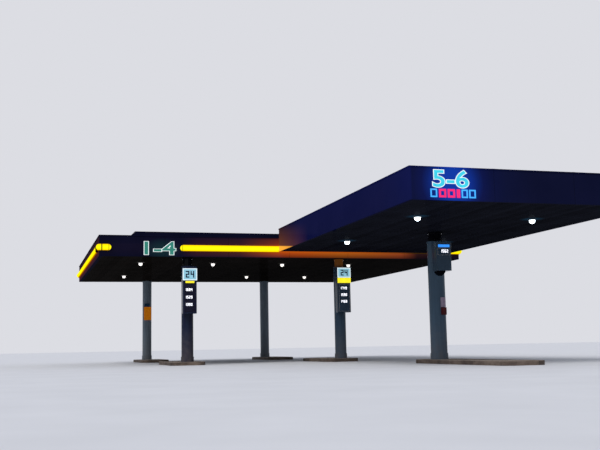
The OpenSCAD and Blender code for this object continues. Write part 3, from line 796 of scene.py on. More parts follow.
spill = add(main_panel, "ShaderNodeMix", {
    "data_type": "RGBA", "blend_type": "MULTIPLY", 0: 1.0, 6: (spill, 2), 7: (spread, "Color")})
# A teal glow is painted round the lit sign.
flat = add(main_panel, "ShaderNodeMapping", {
    "Vector": (where, "Object"), "Location": (3.52, 0, -5.12), "Scale": (0.6, 1, 1)})
from_sign = add(main_panel, "ShaderNodeVectorMath", {"operation": "LENGTH", 0: (flat, "Vector")})
teal = add(main_panel, "ShaderNodeMapRange", {
    "Value": (from_sign, "Value"), "From Min": 0.1, "From Max": 0.55, "To Min": 0.5, "To Max": 0.0})
spill = add(main_panel, "ShaderNodeMix", {
    "data_type": "RGBA", "blend_type": "ADD", 0: (teal, "Result"), 6: (spill, 2), 7: linear_rgb("#0a4038")})
light_outer_faces(main_panel, where, coat, spill, "main")

wing_panel, where, coat = composite("wing_composite_panel", "#0b0e24", "#10122b", 0.015)
# A blue glow from the lit sign is painted round it. On the left side the end of the light band is painted
# in as a reflection and a soft amber spill, and farther along that side a blue sheen from the dusk sky is
# painted.
low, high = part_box("wing_fascia_left")
place = add(wing_panel, "ShaderNodeSeparateXYZ", {"Vector": (where, "Object")})
reach = add(wing_panel, "ShaderNodeVectorMath", {
    "operation": "DISTANCE", 0: (where, "Object"), 1: (low.x + 1.45, low.y, low.z + 0.55)})
far = add(wing_panel, "ShaderNodeMapRange", {
    "Value": (reach, "Value"), "From Min": 0.4, "From Max": 2.8})
halo = add(wing_panel, "ShaderNodeValToRGB", {
    "Fac": (far, "Result"),
    "stops": [(0.0, "#0636a0"), (0.1, "#042880"), (0.19, "#021a5c"), (0.27, "#020a3a"), (0.4, "#010526"),
              (0.6, "#01041a"), (1.0, "#000108")]})
back = add(wing_panel, "ShaderNodeMath", {
    "operation": "SUBTRACT", 0: high.y, 1: (place, "Y")})
above = add(wing_panel, "ShaderNodeMath", {
    "operation": "SUBTRACT", 0: (place, "Z"), 1: band_high - 0.01})
above = add(wing_panel, "ShaderNodeMath", {
    "operation": "MULTIPLY_ADD", 0: (back, "Value"), 1: 0.115, 2: (above, "Value")})
side_on = add(wing_panel, "ShaderNodeMapRange", {
    "Value": (place, "X"), "From Min": low.x + 0.04, "From Max": low.x + 0.1, "To Min": 1.0, "To Max": 0.0})
# On the left side: a painted reflection of the band's end, a painted amber spill and a painted dusk-sky
# sheen.
painted_reflection_run = add(wing_panel, "ShaderNodeMapRange", {
    "Value": (back, "Value"), "From Min": 0.2, "From Max": 3.0, "To Min": 0.95, "To Max": 0.6})
painted_reflection_edge = add(wing_panel, "ShaderNodeMapRange", {
    "Value": (above, "Value"), "From Min": -0.02, "From Max": 0.02, "To Min": 1.0, "To Max": 0.0})
soft_run = add(wing_panel, "ShaderNodeMapRange", {
    "Value": (back, "Value"), "From Min": 0.0, "From Max": 4.5, "To Min": 1.0, "To Max": 0.0})
soft_edge = add(wing_panel, "ShaderNodeMapRange", {
    "Value": (above, "Value"), "From Min": 0.0, "From Max": 1.0, "To Min": 0.17, "To Max": 0.0})
painted_sky_sheen_run = add(wing_panel, "ShaderNodeMapRange", {
    "Value": (back, "Value"), "From Min": 0.5, "From Max": 3.5})
painted_sky_sheen_edge = add(wing_panel, "ShaderNodeMapRange", {
    "Value": (place, "Z"), "From Min": low.z, "From Max": high.z, "To Min": 0.75})
lit = halo
lit_output = "Color"
for run_share, edge_share, colour in ((painted_reflection_run, painted_reflection_edge, "#ffb02c"), (soft_run, soft_edge, "#ec8420"),
                                      (painted_sky_sheen_run, painted_sky_sheen_edge, "#03042c")):
    share = add(wing_panel, "ShaderNodeMath", {
        "operation": "MULTIPLY", 0: (run_share, "Result"), 1: (edge_share, "Result")})
    share = add(wing_panel, "ShaderNodeMath", {
        "operation": "MULTIPLY", 0: (share, "Value"), 1: (side_on, "Result")})
    lit = add(wing_panel, "ShaderNodeMix", {
        "data_type": "RGBA", "blend_type": "ADD", 0: (share, "Value"),
        6: (lit, lit_output), 7: linear_rgb(colour)})
    lit_output = 2
light_outer_faces(wing_panel, where, coat, lit, "wing")


def deck_sides(deck):
    """The four sides of a deck by name: length, height, and where a side's own frame stands."""
    low = near_corner_of(deck)
    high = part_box(deck + "_fascia_rear")[1] - Vector((COPING_OUT, COPING_OUT, 0))
    wide, deep, tall = high - low
    sides = {}
    for side, x, y, turn, length in (("front", low.x, low.y, 0, wide), ("right", high.x, low.y, 90, deep),
                                     ("rear", high.x, high.y, 180, wide), ("left", low.x, high.y, -90, deep)):
        stand = Matrix.Translation((x, y, low.z)) @ Matrix.Rotation(math.radians(turn), 4, "Z")
        sides[side] = (length, tall, stand)
    return sides


def run(shape, section, start, end, mitre_start, mitre_end, finish=0, fold=0.0):
    """A section drawn along a side. A mitred end follows the corner, and a folded one is rounded."""
    inset = [(max(y, fold), z) for y, z in section]
    rings = [[(start + (y if mitre_start else 0), y, z) for y, z in (section if mitre_start else inset)]]
    if fold and not mitre_start:
        rings.append([(start + fold, y, z) for y, z in section])
    if fold and not mitre_end:
        rings.append([(end - fold, y, z) for y, z in section])
    rings.append([(end - (y if mitre_end else 0), y, z) for y, z in (section if mitre_end else inset)])
    shape.loft(rings, finish)


for deck, panel in (("main", main_panel), ("wing", wing_panel)):
    for side, (length, tall, stand) in deck_sides(deck).items():
        node = f"{deck}_fascia_{side}"
        count = round(length / CASSETTE_L)
        top = tall - COPING_T
        cassette = [(FOLD, 0), (0, FOLD), (0, top), (PANEL_T, top), (PANEL_T, RETURN_T),
                    (RETURN_W, RETURN_T), (RETURN_W, 0)]
        backing = [(BACKING_IN, BACKING_UP), (BACKING_IN, top), (PANEL_T - FOLD, top),
                   (PANEL_T - FOLD, RETURN_T - FOLD), (RETURN_W, RETURN_T - FOLD), (RETURN_W, BACKING_UP)]
        panels = Shape()
        run(panels, backing, 0, length, True, True, 1)
        for i, (start, end) in enumerate(parts(length, count, CASSETTE_JOINT)):
            panels.tone = chance.random()
            run(panels, cassette, start, end, i == 0, i == count - 1, 0, FOLD)
        piece(node + "_cassettes", panels, [panel, gasket], stand, node)

        out = -COPING_OUT + COPING_CLEAR
        back = PANEL_T + COPING_OUT - COPING_CLEAR
        drip = tall - DRIP_H
        cap = [(out, drip), (out, tall - 0.006), (out + 0.003, tall - 0.002), (back, tall - 0.005),
               (back, drip), (back - DRIP_T, drip), (back - DRIP_T, top), (out + DRIP_T, top),
               (out + DRIP_T, drip)]
        cover = [(out - 0.002, drip + 0.004), (out - 0.002, tall - 0.003), (out + 0.001, tall),
                 (back + 0.002, tall - 0.003), (back + 0.002, drip + 0.004), (back - 0.002, drip + 0.004),
                 (back - 0.002, tall - 0.007), (out + 0.002, tall - 0.007), (out + 0.002, drip + 0.004)]
        coping = Shape()
        run(coping, cap, 0, length, True, True)
        for i in range(1, count):
            middle = i * length / count
            coping.loft([[(middle + shift, y, z) for y, z in cover] for shift in (-COVER_W / 2, COVER_W / 2)])
            for shift in (-COVER_SCREW_OUT, COVER_SCREW_OUT):
                for y in (0.0, PANEL_T):
                    coping.stud((middle + shift, y, tall - 0.0025), (0, 0, 1), *COVER_SCREW, 1)
        piece(node + "_coping", coping, [panel, stainless], stand, node)


# The raised stretch of the main deck's front: a folded strip with a thin cap, in the same
# paint. Where the wing stands, a black sheet covers the joint between the two decks, and a
# screwed plate closes each end of it.
JOINT_PLATE_T = 0.003
JOINT_PLATE_LAP = 0.03

black_trim = composite("black_coated_flashing", "#08090d", "#0e0f15", 0.01)[0]
dress("main_edge_strip", main_panel)
dress("joint_flashing", black_trim)

strip_low, strip_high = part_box("main_edge_strip")
wing_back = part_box("wing_fascia_rear")[1].y - COPING_OUT
wing_left, wing_right = [corner.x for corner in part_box("wing_fascia_front")]
plate = Shape()
for x in (wing_left + COPING_OUT, wing_right - COPING_OUT - JOINT_PLATE_T):
    plate.block((x, wing_back - JOINT_PLATE_LAP, band_high + 0.01),
                (x + JOINT_PLATE_T, strip_low.y + JOINT_PLATE_LAP, strip_high.z - 0.012), 0.001)
piece("deck_joint_end_plates", plate, [main_panel])


# The light band: hollow mouldings of yellow opal acrylic over rows of diodes, screwed to the
# fascia in runs, with round end caps that are moulded on their own and meet in a groove.
BAND_H = 0.28
BAND_OUT = 0.09
BAND_R = 0.06
BEND_STEPS = 8
CAP_L = 0.1
CAP_CURVE = (0.004, 0.015, 0.04, 0.08, 0.14, 0.22, 0.32, 0.44, 0.56, 1.0)
CAP_GROOVE = (0.024, 0.014)
WAIST_GROOVE = (0.05, 0.045)
SEAM = (0.006, 0.005)
GROOVE_EDGE = 0.002
BAND_SET_IN = 0.001
MOULDING_L = 2.9
UNDER_WING_L = 7.7

acrylic = new_material("lit_yellow_acrylic")
# Opal yellow acrylic lit from behind: even light, warmer along the top and bottom edges. Under
# the wing only its foot shows, which is in shade there.
wing_side = wing_left + COPING_OUT
where = add(acrylic, "ShaderNodeTexCoord", {})
place = add(acrylic, "ShaderNodeSeparateXYZ", {"Vector": (where, "Object")})
height = add(acrylic, "ShaderNodeMapRange", {
    "Value": (place, "Z"), "From Min": band_low, "From Max": band_high})
warm = add(acrylic, "ShaderNodeValToRGB", {
    "Fac": (height, "Result"),
    "stops": [(0.0, "#8a4200"), (0.08, "#ffe000"), (0.5, "#fffa12"), (0.93, "#ffe000"), (1.0, "#a05000")]})
foot = add(acrylic, "ShaderNodeMapRange", {
    "Value": (place, "Z"), "From Min": band_low + 0.08, "From Max": band_low + 0.1,
    "To Min": 1.0, "To Max": 0.0})
from_side = add(acrylic, "ShaderNodeMapRange", {
    "Value": (place, "X"), "From Min": wing_side, "From Max": wing_side + 0.05})
to_side = add(acrylic, "ShaderNodeMapRange", {
    "Value": (place, "X"), "From Min": wing_side + UNDER_WING_L - 0.2,
    "From Max": wing_side + UNDER_WING_L, "To Min": 1.0, "To Max": 0.0})
under = add(acrylic, "ShaderNodeMath", {
    "operation": "MULTIPLY", 0: (from_side, "Result"), 1: (to_side, "Result")})
shaded = add(acrylic, "ShaderNodeMath", {
    "operation": "MULTIPLY", 0: (under, "Value"), 1: (foot, "Result")})
beside = add(acrylic, "ShaderNodeMapRange", {
    "Value": (place, "X"), "From Min": wing_side, "From Max": wing_side + UNDER_WING_L})
thrown = add(acrylic, "ShaderNodeValToRGB", {
    "Fac": (beside, "Result"),
    "stops": [(0.0, "#b0480a"), (0.5, "#9c440c"), (0.78, "#70300e"), (0.88, "#28100a"), (1.0, "#1c0c08")]})
colour = add(acrylic, "ShaderNodeMix", {
    "data_type": "RGBA", 0: (shaded, "Value"), 6: (warm, "Color"), 7: (thrown, "Color")})
patch = add(acrylic, "ShaderNodeTexNoise", {"Vector": (where, "Object"), "Scale": 14.0})
glow = add(acrylic, "ShaderNodeMapRange", {"Value": (patch, "Fac"), "To Min": 1.02, "To Max": 1.22})
shader = add(acrylic, "ShaderNodeBsdfPrincipled", {
    "Base Color": linear_rgb("#4c3c00"), "Roughness": 0.3, "Specular IOR Level": 0.0,
    "Emission Color": (colour, 2), "Emission Strength": (glow, "Result")})
add(acrylic, "ShaderNodeOutputMaterial", {"Surface": (shader, "BSDF")})

# The same acrylic with no light behind it: a dull red-brown, nearly black with grime.
dark_acrylic = cloudy("unlit_yellow_acrylic", 8.0, 5.0, [(0.3, "#1c0805"), (0.7, "#2a0f08")],
                      {"Roughness": 0.6, "Specular IOR Level": 0.0})


def band_ring(x, tall, inset):
    """The moulding's section at a place along it: flat back, rounded front."""
    half = max(BAND_SET_IN, tall / 2 - inset)
    bend = min(BAND_R, half)
    out = BAND_OUT - inset
    middle = BAND_H / 2
    ring = [(x, -BAND_SET_IN, middle - half)]
    for centre, start in ((middle - half + bend, -90), (middle + half - bend, 0)):
        for i in range(BEND_STEPS + 1):
            angle = math.radians(start + 90 * i / BEND_STEPS)
            ring.append((x, -(out - bend + bend * math.cos(angle)), centre + bend * math.sin(angle)))
    return ring + [(x, -BAND_SET_IN, middle + half)]


def band_run(start, end, capped_ends, waist, dark_end):
    """A run of the band: round caps on its ends, and grooves where its mouldings meet.

    The last stretch of a run can be dark, where its diodes are out."""
    reach = BAND_H / 2
    length = end - start
    joints = [(CAP_L, *CAP_GROOVE), (length - CAP_L, *CAP_GROOVE)] if capped_ends else []
    if waist:
        joints[0] = (waist, *WAIST_GROOVE)
    if dark_end:
        joints.append((length - dark_end, *SEAM))
    count = round(length / MOULDING_L)
    joints += [(i * length / count, *SEAM) for i in range(1, count)]
    places = {0.0, length}
    if capped_ends:
        for share in CAP_CURVE:
            places |= {share * reach, length - share * reach}
    stations = [(place, 0.0) for place in places
                if not any(abs(place - middle) < wide / 2 + GROOVE_EDGE for middle, wide, deep in joints)]
    for middle, wide, deep in joints:
        near = middle - wide / 2
        far = middle + wide / 2
        stations += [(near, 0.0), (near + GROOVE_EDGE, deep), (far - GROOVE_EDGE, deep), (far, 0.0)]
    stations.sort()
    shape = Shape()
    rings = []
    for place, inset in stations:
        from_end = min(place, length - place, reach) if capped_ends else reach
        tall = 2 * math.sqrt(max(0.0, reach ** 2 - (reach - from_end) ** 2))
        rings.append(band_ring(start + place, tall, inset))
    shape.loft(rings)
    size = len(rings[0])
    for i in range(len(stations) - 1):
        if stations[i][1] and stations[i + 1][1]:
            shape.finishes[i * size:(i + 1) * size] = [1] * size
        elif stations[i][0] > length - dark_end:
            shape.finishes[i * size:(i + 1) * size] = [2] * size
    return shape


for node, side, capped_ends, waist, dark_end in (
        ("band_front_short", "front", True, 0.25, 0), ("band_front_long", "front", True, 0, 0),
        ("band_right", "right", False, 0, 0), ("band_rear", "rear", True, 0, 0),
        ("band_left", "left", False, 0, 1.0)):
    stand = deck_sides("main")[side][2]
    low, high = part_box(node)
    ends = sorted((stand.inverted() @ corner).x for corner in (low, high))
    lift = Matrix.Translation((0, 0, low.z - stand.translation.z))
    shape = band_run(ends[0], ends[1], capped_ends, waist, dark_end)
    piece(node + "_moulding", shape, [acrylic, gasket, dark_acrylic], stand @ lift, node)


# The lamps: surface lamps screwed under the soffits. A spun steel dish in dark stove enamel
# holds a pressed glass bowl, lit white under the main deck and cooler and brighter under the wing.
LAMP_H = 0.04
LAMP_SIDES = 40
GLASS_DS = {"main_lamps": 0.175, "wing_lamps": 0.21}
GLASS_H = 0.125
BOWL_STEPS = 10
LIP = 0.015
CLIP = (0.005, 0.004)
CLIP_OUT = 0.009
CLIP_SWING = 0.5

dish_enamel = cloudy("grey_stove_enamel", 60.0, 3.0, [(0.3, "#1c1d20"), (0.7, "#2a2b2f")],
                     {"Roughness": 0.35})


def lit_sheet(name, colour, strength, base, scale=6.0, drift=0.2, roughness=0.3):
    """Frosted glass or opal acrylic with a light behind it, whose brightness drifts a little."""
    made = new_material(name)
    where = add(made, "ShaderNodeTexCoord", {})
    patch = add(made, "ShaderNodeTexNoise", {"Vector": (where, "Object"), "Scale": scale})
    glow = add(made, "ShaderNodeMapRange", {
        "Value": (patch, "Fac"), "To Min": strength * (1 - drift), "To Max": strength * (1 + drift)})
    shader = add(made, "ShaderNodeBsdfPrincipled", {
        "Base Color": linear_rgb(base), "Roughness": roughness,
        "Emission Color": linear_rgb(colour), "Emission Strength": (glow, "Result")})
    add(made, "ShaderNodeOutputMaterial", {"Surface": (shader, "BSDF")})
    return made


LAMP_GLASSES = {
    "main_lamps": lit_sheet("lit_white_pressed_glass", "#fff8ee", 1.25, "#f4f6ff", 25.0, 0.15, 0.2),
    "wing_lamps": lit_sheet("lit_cool_pressed_glass", "#e2f4ff", 5.0, "#f4f6ff", 25.0, 0.15, 0.2)}

for node in LAMP_GRIDS:
    bend = GLASS_DS[node] / 2
    lip = bend + LIP
    straight = GLASS_H - bend
    dish = [(0.02, 0.0), (LAMP_D / 2, 0.0), (LAMP_D / 2, -0.004), (lip + 0.004, -LAMP_H + 0.003),
            (lip, -LAMP_H), (bend + 0.004, -LAMP_H), (bend + 0.002, -LAMP_H + 0.006), (0.02, -LAMP_H + 0.006)]
    bowl = [(0.001, -LAMP_H + 0.004), (bend, -LAMP_H + 0.004), (bend, -LAMP_H - straight)]
    for i in range(1, BOWL_STEPS + 1):
        angle = math.pi / 2 * i / BOWL_STEPS
        bowl.append((max(0.001, bend * math.cos(angle)), -LAMP_H - straight - bend * math.sin(angle)))
    lamps = Shape()
    for middle in lamp_middles(node):
        for profile, finish in ((dish, 0), (bowl, 1)):
            lamps.loft([[(*at(r, angle, middle), middle.z + z) for r, z in profile]
                        for angle in around(LAMP_SIDES)], finish, closed=True)
        for angle in around(3):
            foot = (*at(bend + CLIP_OUT, angle + CLIP_SWING, middle), middle.z - LAMP_H)
            lamps.stud(foot, (0, 0, -1), *CLIP, 2)
    finishes = [dish_enamel, LAMP_GLASSES[node], stainless]
    piece(node + "_bowls", lamps, finishes, instead_of=node)


# The signs on the fascias: built-up numbers of lit acrylic, with a tube of white light round
# each edge, and a row of plain frames of light tube under the wing's.
LETTER_SHARP_FROM = math.radians(40)
FRAME_FOOT = 0.085
FRAME_TOP = 0.35
FRAME_OUT = 0.017
FRAME_EDGE = 0.002
BLUE_BAR = 0.045
PINK_BAR = 0.065
PINK_HOLE = 0.012
TUBE_PAST = 0.02


def lettering(name, text, size, corner, depth, material, tube=0.0):
    """Numbers on a face: solid, or as tubes round their edges. Size is width and height."""
    curve = bpy.data.curves.new(name, "FONT")
    curve.body = text
    curve.resolution_u = 6
    curve.offset = 0.03
    if tube:
        curve.fill_mode = "NONE"
        curve.bevel_depth = tube
        curve.bevel_resolution = 2
    else:
        curve.extrude = 0.02
    drawn = bpy.data.objects.new(name, curve)
    bpy.context.scene.collection.objects.link(drawn)
    mesh = bpy.data.meshes.new_from_object(drawn.evaluated_get(bpy.context.evaluated_depsgraph_get()))
    bpy.data.objects.remove(drawn)
    spans = [(min(axis), max(axis)) for axis in zip(*(vertex.co for vertex in mesh.vertices))]
    wanted = (size[0], size[1], depth)
    for vertex in mesh.vertices:
        x, z, y = [(value - a) / (b - a) * full for value, (a, b), full in zip(vertex.co, spans, wanted)]
        vertex.co = corner + Vector((x, -y, z))
    mesh.materials.clear()
    mesh.materials.append(material)
    settled(name, mesh, LETTER_SHARP_FROM)


white_tube = lit_sheet("lit_white_edge_tube", "#e8f2f2", 0.95, "#70787a")
teal_face = lit_sheet("lit_teal_face", "#1f9a84", 0.5, "#123c38")
cyan_face = lit_sheet("lit_cyan_face", "#2fd8f0", 0.85, "#12485a")
blue_tube = lit_sheet("lit_blue_tube", "#3cb0ff", 1.0, "#12305a")
pink_tube = lit_sheet("lit_pink_tube", "#f8086c", 1.0, "#400c28")

wing_low = near_corner_of("wing")
for deck, text, corner, wide, tall, face_out, face, tubes_out, tube in (
        ("main", "1-4", near_corner + Vector((1.94, 0.001, 0.08)), 1.4, 0.58, 0.03, teal_face, 0.04, 0.014),
        ("wing", "5-6", wing_low + Vector((0.75, 0.001, 0.4)), 1.22, 0.55, 0.012, cyan_face, 0.017, 0.016)):
    lettering(deck + "_sign_faces", text, (wide, tall), corner, face_out, face)
    corner = corner - Vector((TUBE_PAST, 0, TUBE_PAST))
    size = (wide + 2 * TUBE_PAST, tall + 2 * TUBE_PAST)
    lettering(deck + "_sign_tubes", text, size, corner, tubes_out, white_tube, tube)
frames = Shape()
for left, right, finish in ((0.665, 0.89, 0), (0.95, 1.19, 1), (1.24, 1.49, 1), (1.545, 1.66, 1),
                            (1.71, 1.92, 0), (1.965, 2.19, 0)):
    bar = min(PINK_BAR, (right - left - PINK_HOLE) / 2) if finish else BLUE_BAR
    foot = FRAME_FOOT + bar
    top = FRAME_TOP - bar
    for x0, x1, z0, z1 in ((left, right, FRAME_FOOT, foot), (left, right, top, FRAME_TOP),
                           (left, left + bar, foot, top), (right - bar, right, foot, top)):
        frames.block((x0, -FRAME_OUT, z0), (x1, 2 * SET_IN, z1), FRAME_EDGE, finish)
piece("wing_sign_frames", frames, [blue_tube, pink_tube], Matrix.Translation(wing_low))


# The boards on the columns: folded steel cases in the columns' enamel. A header of opal
# acrylic lit from inside stands on top, and price rows of white diodes sit behind a dark pane.
BOARD_W = 0.62
BOARD_D = 0.42
BOARD_R = 0.035
HEADER_OUT = 0.016
HEADER_EDGE = BOARD_W / 2 + HEADER_OUT - 0.004
SHEET_STEP = 0.003
PRICE_H = 0.12
FIGURE_W = 0.55
FIGURE_BAR = 0.18
FIGURE_GAP = 0.17
FIGURE_T = 0.006
FIGURE_CUT = 0.001
FIGURE_EDGE = 0.0008
WINDOW_IN = 0.014
WINDOW_RIM = 0.055
TRIM_W = 0.006
PANE_CLEAR = 0.004
CASE_SHADE_SHARE = 0.7
FOOT_SCREW = (0.006, 0.004)
FOOT_SCREW_IN = 0.03
SADDLE_W = 0.24
SADDLE_H = 0.12
SADDLE_IN = 0.18

PANE_SETTINGS = {"Roughness": 0.25, "Specular IOR Level": 0.1}
# A dark polycarbonate pane over the diodes, glossy and dusty.
pane = cloudy("tinted_display_pane", 12.0, 6.0, [(0.4, "#0c0c1c"), (0.75, "#17172e")], PANE_SETTINGS)
# The newer boards' pane, a grey one close to the case's own colour.
smoked = cloudy("smoked_display_pane", 12.0, 6.0, [(0.4, "#25384a"), (0.75, "#30465a")], PANE_SETTINGS)
white_rim = lit_sheet("lit_white_rim", "#dff2f8", 0.95, "#606870")
pale_blue = lit_sheet("lit_pale_blue_panel", "#9cd6ea", 0.68, "#3f6070")
lemon = lit_sheet("lit_lemon_panel", "#fff21a", 1.0, "#504808")
sky_blue = lit_sheet("lit_sky_blue_panel", "#2a90ff", 1.05, "#183c68")
diodes = lit_sheet("lit_white_diodes", "#f4f6ff", 1.7, "#606060")
navy_film = composite("navy_cut_film", "#141c38", "#1c2648", 0.01)[0]
BOARD_FINISHES = [enamel, pane, white_rim, pale_blue, lemon, sky_blue, diodes, stainless, navy_film, smoked,
                  black_trim]
CASE, PANE, RIM, PALE, LEMON, SKY, DIODES, STEEL, FILM, SMOKED, BLACK = range(11)
BARS = {"0": "abcdef", "1": "bc", "2": "abged", "3": "abgcd", "4": "fgbc", "5": "afgcd", "6": "afgecd",
        "7": "abc", "8": "abcdefg", "9": "abcdfg"}


def figures(shape, text, left, middle, height, y, finish):
    """Seven-bar numbers of the given height on a pane that faces -Y."""
    width = height * FIGURE_W
    bar = height * FIGURE_BAR
    half = height / 2
    spots = {"a": (0, height - bar, width, height), "g": (0, half - bar / 2, width, half + bar / 2),
             "d": (0, 0, width, bar), "b": (width - bar, half, width, height),
             "c": (width - bar, 0, width, half), "f": (0, half, bar, height), "e": (0, 0, bar, half)}
    for i, figure in enumerate(text):
        x = left + i * (width + height * FIGURE_GAP) + FIGURE_CUT
        z = middle - half + FIGURE_CUT
        for spot in BARS[figure]:
            x0, z0, x1, z1 = spots[spot]
            shape.block((x + x0, y, z + z0), (x + x1 - 2 * FIGURE_CUT, y + FIGURE_T, z + z1 - 2 * FIGURE_CUT),
                        FIGURE_EDGE, finish)


def saddle(shape, reach, foot):
    """A block behind a board that is hollowed to sit on its column."""
    swing = math.asin(SADDLE_W / 2 / reach)
    outline = [(-SADDLE_W / 2, -0.001), (SADDLE_W / 2, -0.001)]
    for i in range(13):
        angle = swing * (1 - i / 6)
        outline.append(((reach + SHELL_CLEAR) * math.sin(angle),
                        SLEEVE_T + reach - (reach + SHELL_CLEAR) * math.cos(angle)))
    shape.slab(outline, foot, foot + SADDLE_H)


def shadow_bracket(shape, reach):
    """A black half bowl under the wing's board, hollowed to sit on the column, put where the board casts its
    shadow: a painted shadow.
    """
    rings = []
    for z, half_w, out in ((-0.001, 0.2, 0.3), (-0.05, 0.19, 0.26), (-0.12, 0.14, 0.16), (-0.17, 0.06, 0.03)):
        angles = [math.pi + math.pi * i / 16 for i in range(17)]
        ring = [(half_w * math.cos(a), out * math.sin(a), z) for a in angles]
        for i in range(9):
            x = half_w * (1 - i / 4)
            ring.append((x, SLEEVE_T + reach - math.sqrt((reach + SHELL_CLEAR) ** 2 - x ** 2), z))
        rings.append(ring)
    shape.loft(rings, BLACK)


def board(node, column, glass, header_h, window_h, sheets, marks, row_left, rows):
    """One board: case, window with its pane and price rows, header, and saddles on the column.

    A header's sheet has half a width, a foot, a top and a finish, a mark a text, its left, middle
    and height, and a price row a text and its middle."""
    low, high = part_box(node)
    tall = high.z - low.z
    reach = reach_of(column)
    stand = Matrix.Translation(middle_of(column) + Vector((0, -reach - SLEEVE_T, low.z)))
    half = BOARD_W / 2
    opening = half - WINDOW_RIM
    header = tall - header_h
    head = header - WINDOW_RIM
    sill = head - window_h
    full = rounded_outline(half, -BOARD_D, 0, BOARD_R)
    recess = -BOARD_D + WINDOW_IN
    framed = full + [(-opening, -BOARD_D), (-opening, recess), (opening, recess), (opening, -BOARD_D)]
    wide = rounded_outline(half + HEADER_OUT, -BOARD_D - HEADER_OUT + 0.012, 0, BOARD_R)
    case = Shape()
    # The case takes its column's painted shade tone, a little darker still.
    case.tone = COLUMN_SHADE_TONES[column] * CASE_SHADE_SHARE
    case.loft([[(x * 0.99, y * 0.99 - 0.002, 0) for x, y in full], [(x, y, 0.004) for x, y in full],
               [(x, y, sill) for x, y in full]])
    for outline, foot, top in ((framed, sill, head), (full, head, header), (wide, header, tall)):
        case.slab(outline, foot, top)
    case.block((-opening + PANE_CLEAR, recess - PANE_CLEAR, sill + PANE_CLEAR),
               (opening - PANE_CLEAR, recess + 0.002, head - PANE_CLEAR), 0.001, glass)
    face = -BOARD_D - HEADER_OUT
    for i, (half_w, foot, top, finish) in enumerate(sheets):
        case.block((-half_w, face - SHEET_STEP * i, foot), (half_w, face + 0.014, top), 0.002, finish)
    for text, left, middle, figure_h in marks:
        figures(case, text, left, middle, figure_h, face - SHEET_STEP * len(sheets), FILM)
    for text, middle in rows:
        figures(case, text, row_left, middle, PRICE_H, recess - 0.008, DIODES)
    trim = STEEL if glass == SMOKED else CASE
    trim_y = (-BOARD_D - 0.003, -BOARD_D + 0.004)
    for x in (-opening, opening):
        case.block((x - TRIM_W, trim_y[0], sill), (x + TRIM_W, trim_y[1], head), 0.001, trim)
    for z in (sill, head):
        case.block((-opening, trim_y[0], z - TRIM_W), (opening, trim_y[1], z + TRIM_W), 0.001, trim)
    # The older board's bare steel strips at the case's sides are put where a highlight shows on its edges: a
    # painted highlight.
    if glass == PANE:
        for x in (-half - 0.002, half - 0.01):
            case.block((x, -0.15, 0.03), (x + 0.012, -0.04, header - 0.01), 0.001, STEEL)
    if column == "column_wing":
        shadow_bracket(case, reach)
    for x in (-half + FOOT_SCREW_IN, half - FOOT_SCREW_IN):
        case.stud((x, -BOARD_D, FOOT_SCREW_IN), (0, -1, 0), *FOOT_SCREW, STEEL)
    for foot in (SADDLE_IN, tall - SADDLE_IN - SADDLE_H):
        saddle(case, reach, foot)
    piece(node + "_case", case, BOARD_FINISHES, stand, node)


board("price_board_left", "column_front_left", PANE, 0.55, 1.42,
      [(HEADER_EDGE, 1.47, 2.0, RIM), (HEADER_EDGE - 0.04, 1.51, 1.96, PALE), (0.195, 1.35, 1.44, LEMON)],
      [("24", -0.19, 1.735, 0.3)], -0.215, [("1684", 1.055), ("1529", 0.725), ("1390", 0.4)])
board("price_board_right", "column_front_right", SMOKED, 0.72, 1.25,
      [(HEADER_EDGE, 1.61, 2.076, RIM), (HEADER_EDGE - 0.04, 1.65, 2.036, PALE),
       (HEADER_EDGE, 1.364, 1.6, LEMON)],
      [("24", -0.17, 1.843, 0.27)], -0.2, [("1749", 1.126), ("1590", 0.818), ("1468", 0.51)])
board("wing_board", "column_wing", SMOKED, 0.19, 0.26, [(0.235, 0.9, 1.0, SKY)], [], -0.14, [("1562", 0.75)])


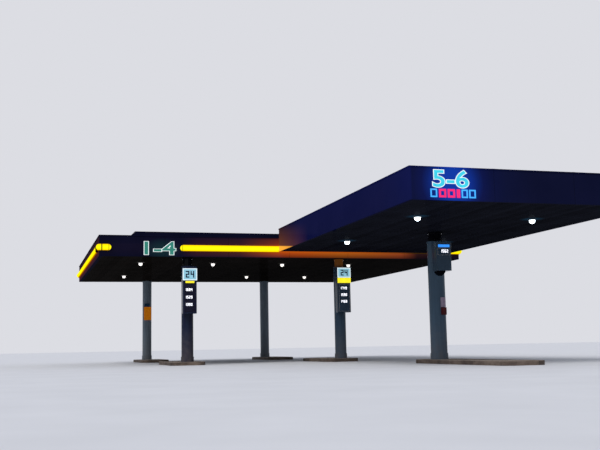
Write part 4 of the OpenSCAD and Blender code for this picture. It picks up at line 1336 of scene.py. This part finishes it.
# The notices: enamelled steel plates on the columns, orange and blue on the one at the rear and
# white on the wing's, and a red stop box on the wing's column.
PLATE_T = 0.014
PLATE_GAP = 0.004
PLATE_EDGE = 0.003
BLUE_PLATE_H = 0.2
BLUE_PLATE_IN = (0.03, 0.11)
HOLDER_IN = (0.1, 0.14)
HOLDER_IN_ENDS = 0.05
PLATE_SCREW = (0.007, 0.004)
PLATE_SCREW_IN = 0.025


def plate_enamel(name, dark, light, glow=0.0):
    """Stove enamel on a steel plate, slightly uneven in colour. A glow can be painted on one that stands in
    shade, as painted light.
    """
    made = new_material(name)
    where = add(made, "ShaderNodeTexCoord", {})
    cloud = add(made, "ShaderNodeTexNoise", {"Vector": (where, "Object"), "Scale": 9.0, "Detail": 4.0})
    body = add(made, "ShaderNodeValToRGB", {"Fac": (cloud, "Fac"), "stops": [(0.3, dark), (0.7, light)]})
    coat = add(made, "ShaderNodeBsdfPrincipled", {
        "Base Color": (body, "Color"), "Roughness": 0.4, "Specular IOR Level": 0.1,
        "Emission Color": (body, "Color"), "Emission Strength": glow})
    add(made, "ShaderNodeOutputMaterial", {"Surface": (coat, "BSDF")})
    return made


dress("wing_notice", plate_enamel("white_plate_enamel", "#8d7f92", "#ab9aac"))
dress("wing_stop_box", plate_enamel("red_box_enamel", "#420c10", "#541216"))

low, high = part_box("column_notice")
split = high.z - BLUE_PLATE_H
face = low.y + PLATE_T
plates = Shape()
plates.block(low, (high.x, face, split - PLATE_GAP), PLATE_EDGE, 0)
plates.block((low.x + BLUE_PLATE_IN[0], low.y, split + PLATE_GAP),
             (high.x - BLUE_PLATE_IN[1], face, high.z), PLATE_EDGE, 1)
plates.block((low.x + HOLDER_IN[0], face - 0.002, low.z + HOLDER_IN_ENDS),
             (high.x - HOLDER_IN[1], high.y, high.z - HOLDER_IN_ENDS), 0.002, 2)
for x in (low.x + PLATE_SCREW_IN, high.x - PLATE_SCREW_IN):
    for z in (low.z + PLATE_SCREW_IN, split - 0.03):
        plates.stud((x, low.y, z), (0, -1, 0), *PLATE_SCREW, 3)
# The orange plate stands in the deck's shade, so a faint glow is painted on it as painted light.
orange_enamel = plate_enamel("orange_plate_enamel", "#f08000", "#ff980c", 0.1)
blue_enamel = plate_enamel("blue_plate_enamel", "#14344c", "#1e4460")
piece("column_notice_plates", plates, [orange_enamel, blue_enamel, enamel, stainless],
      instead_of="column_notice")
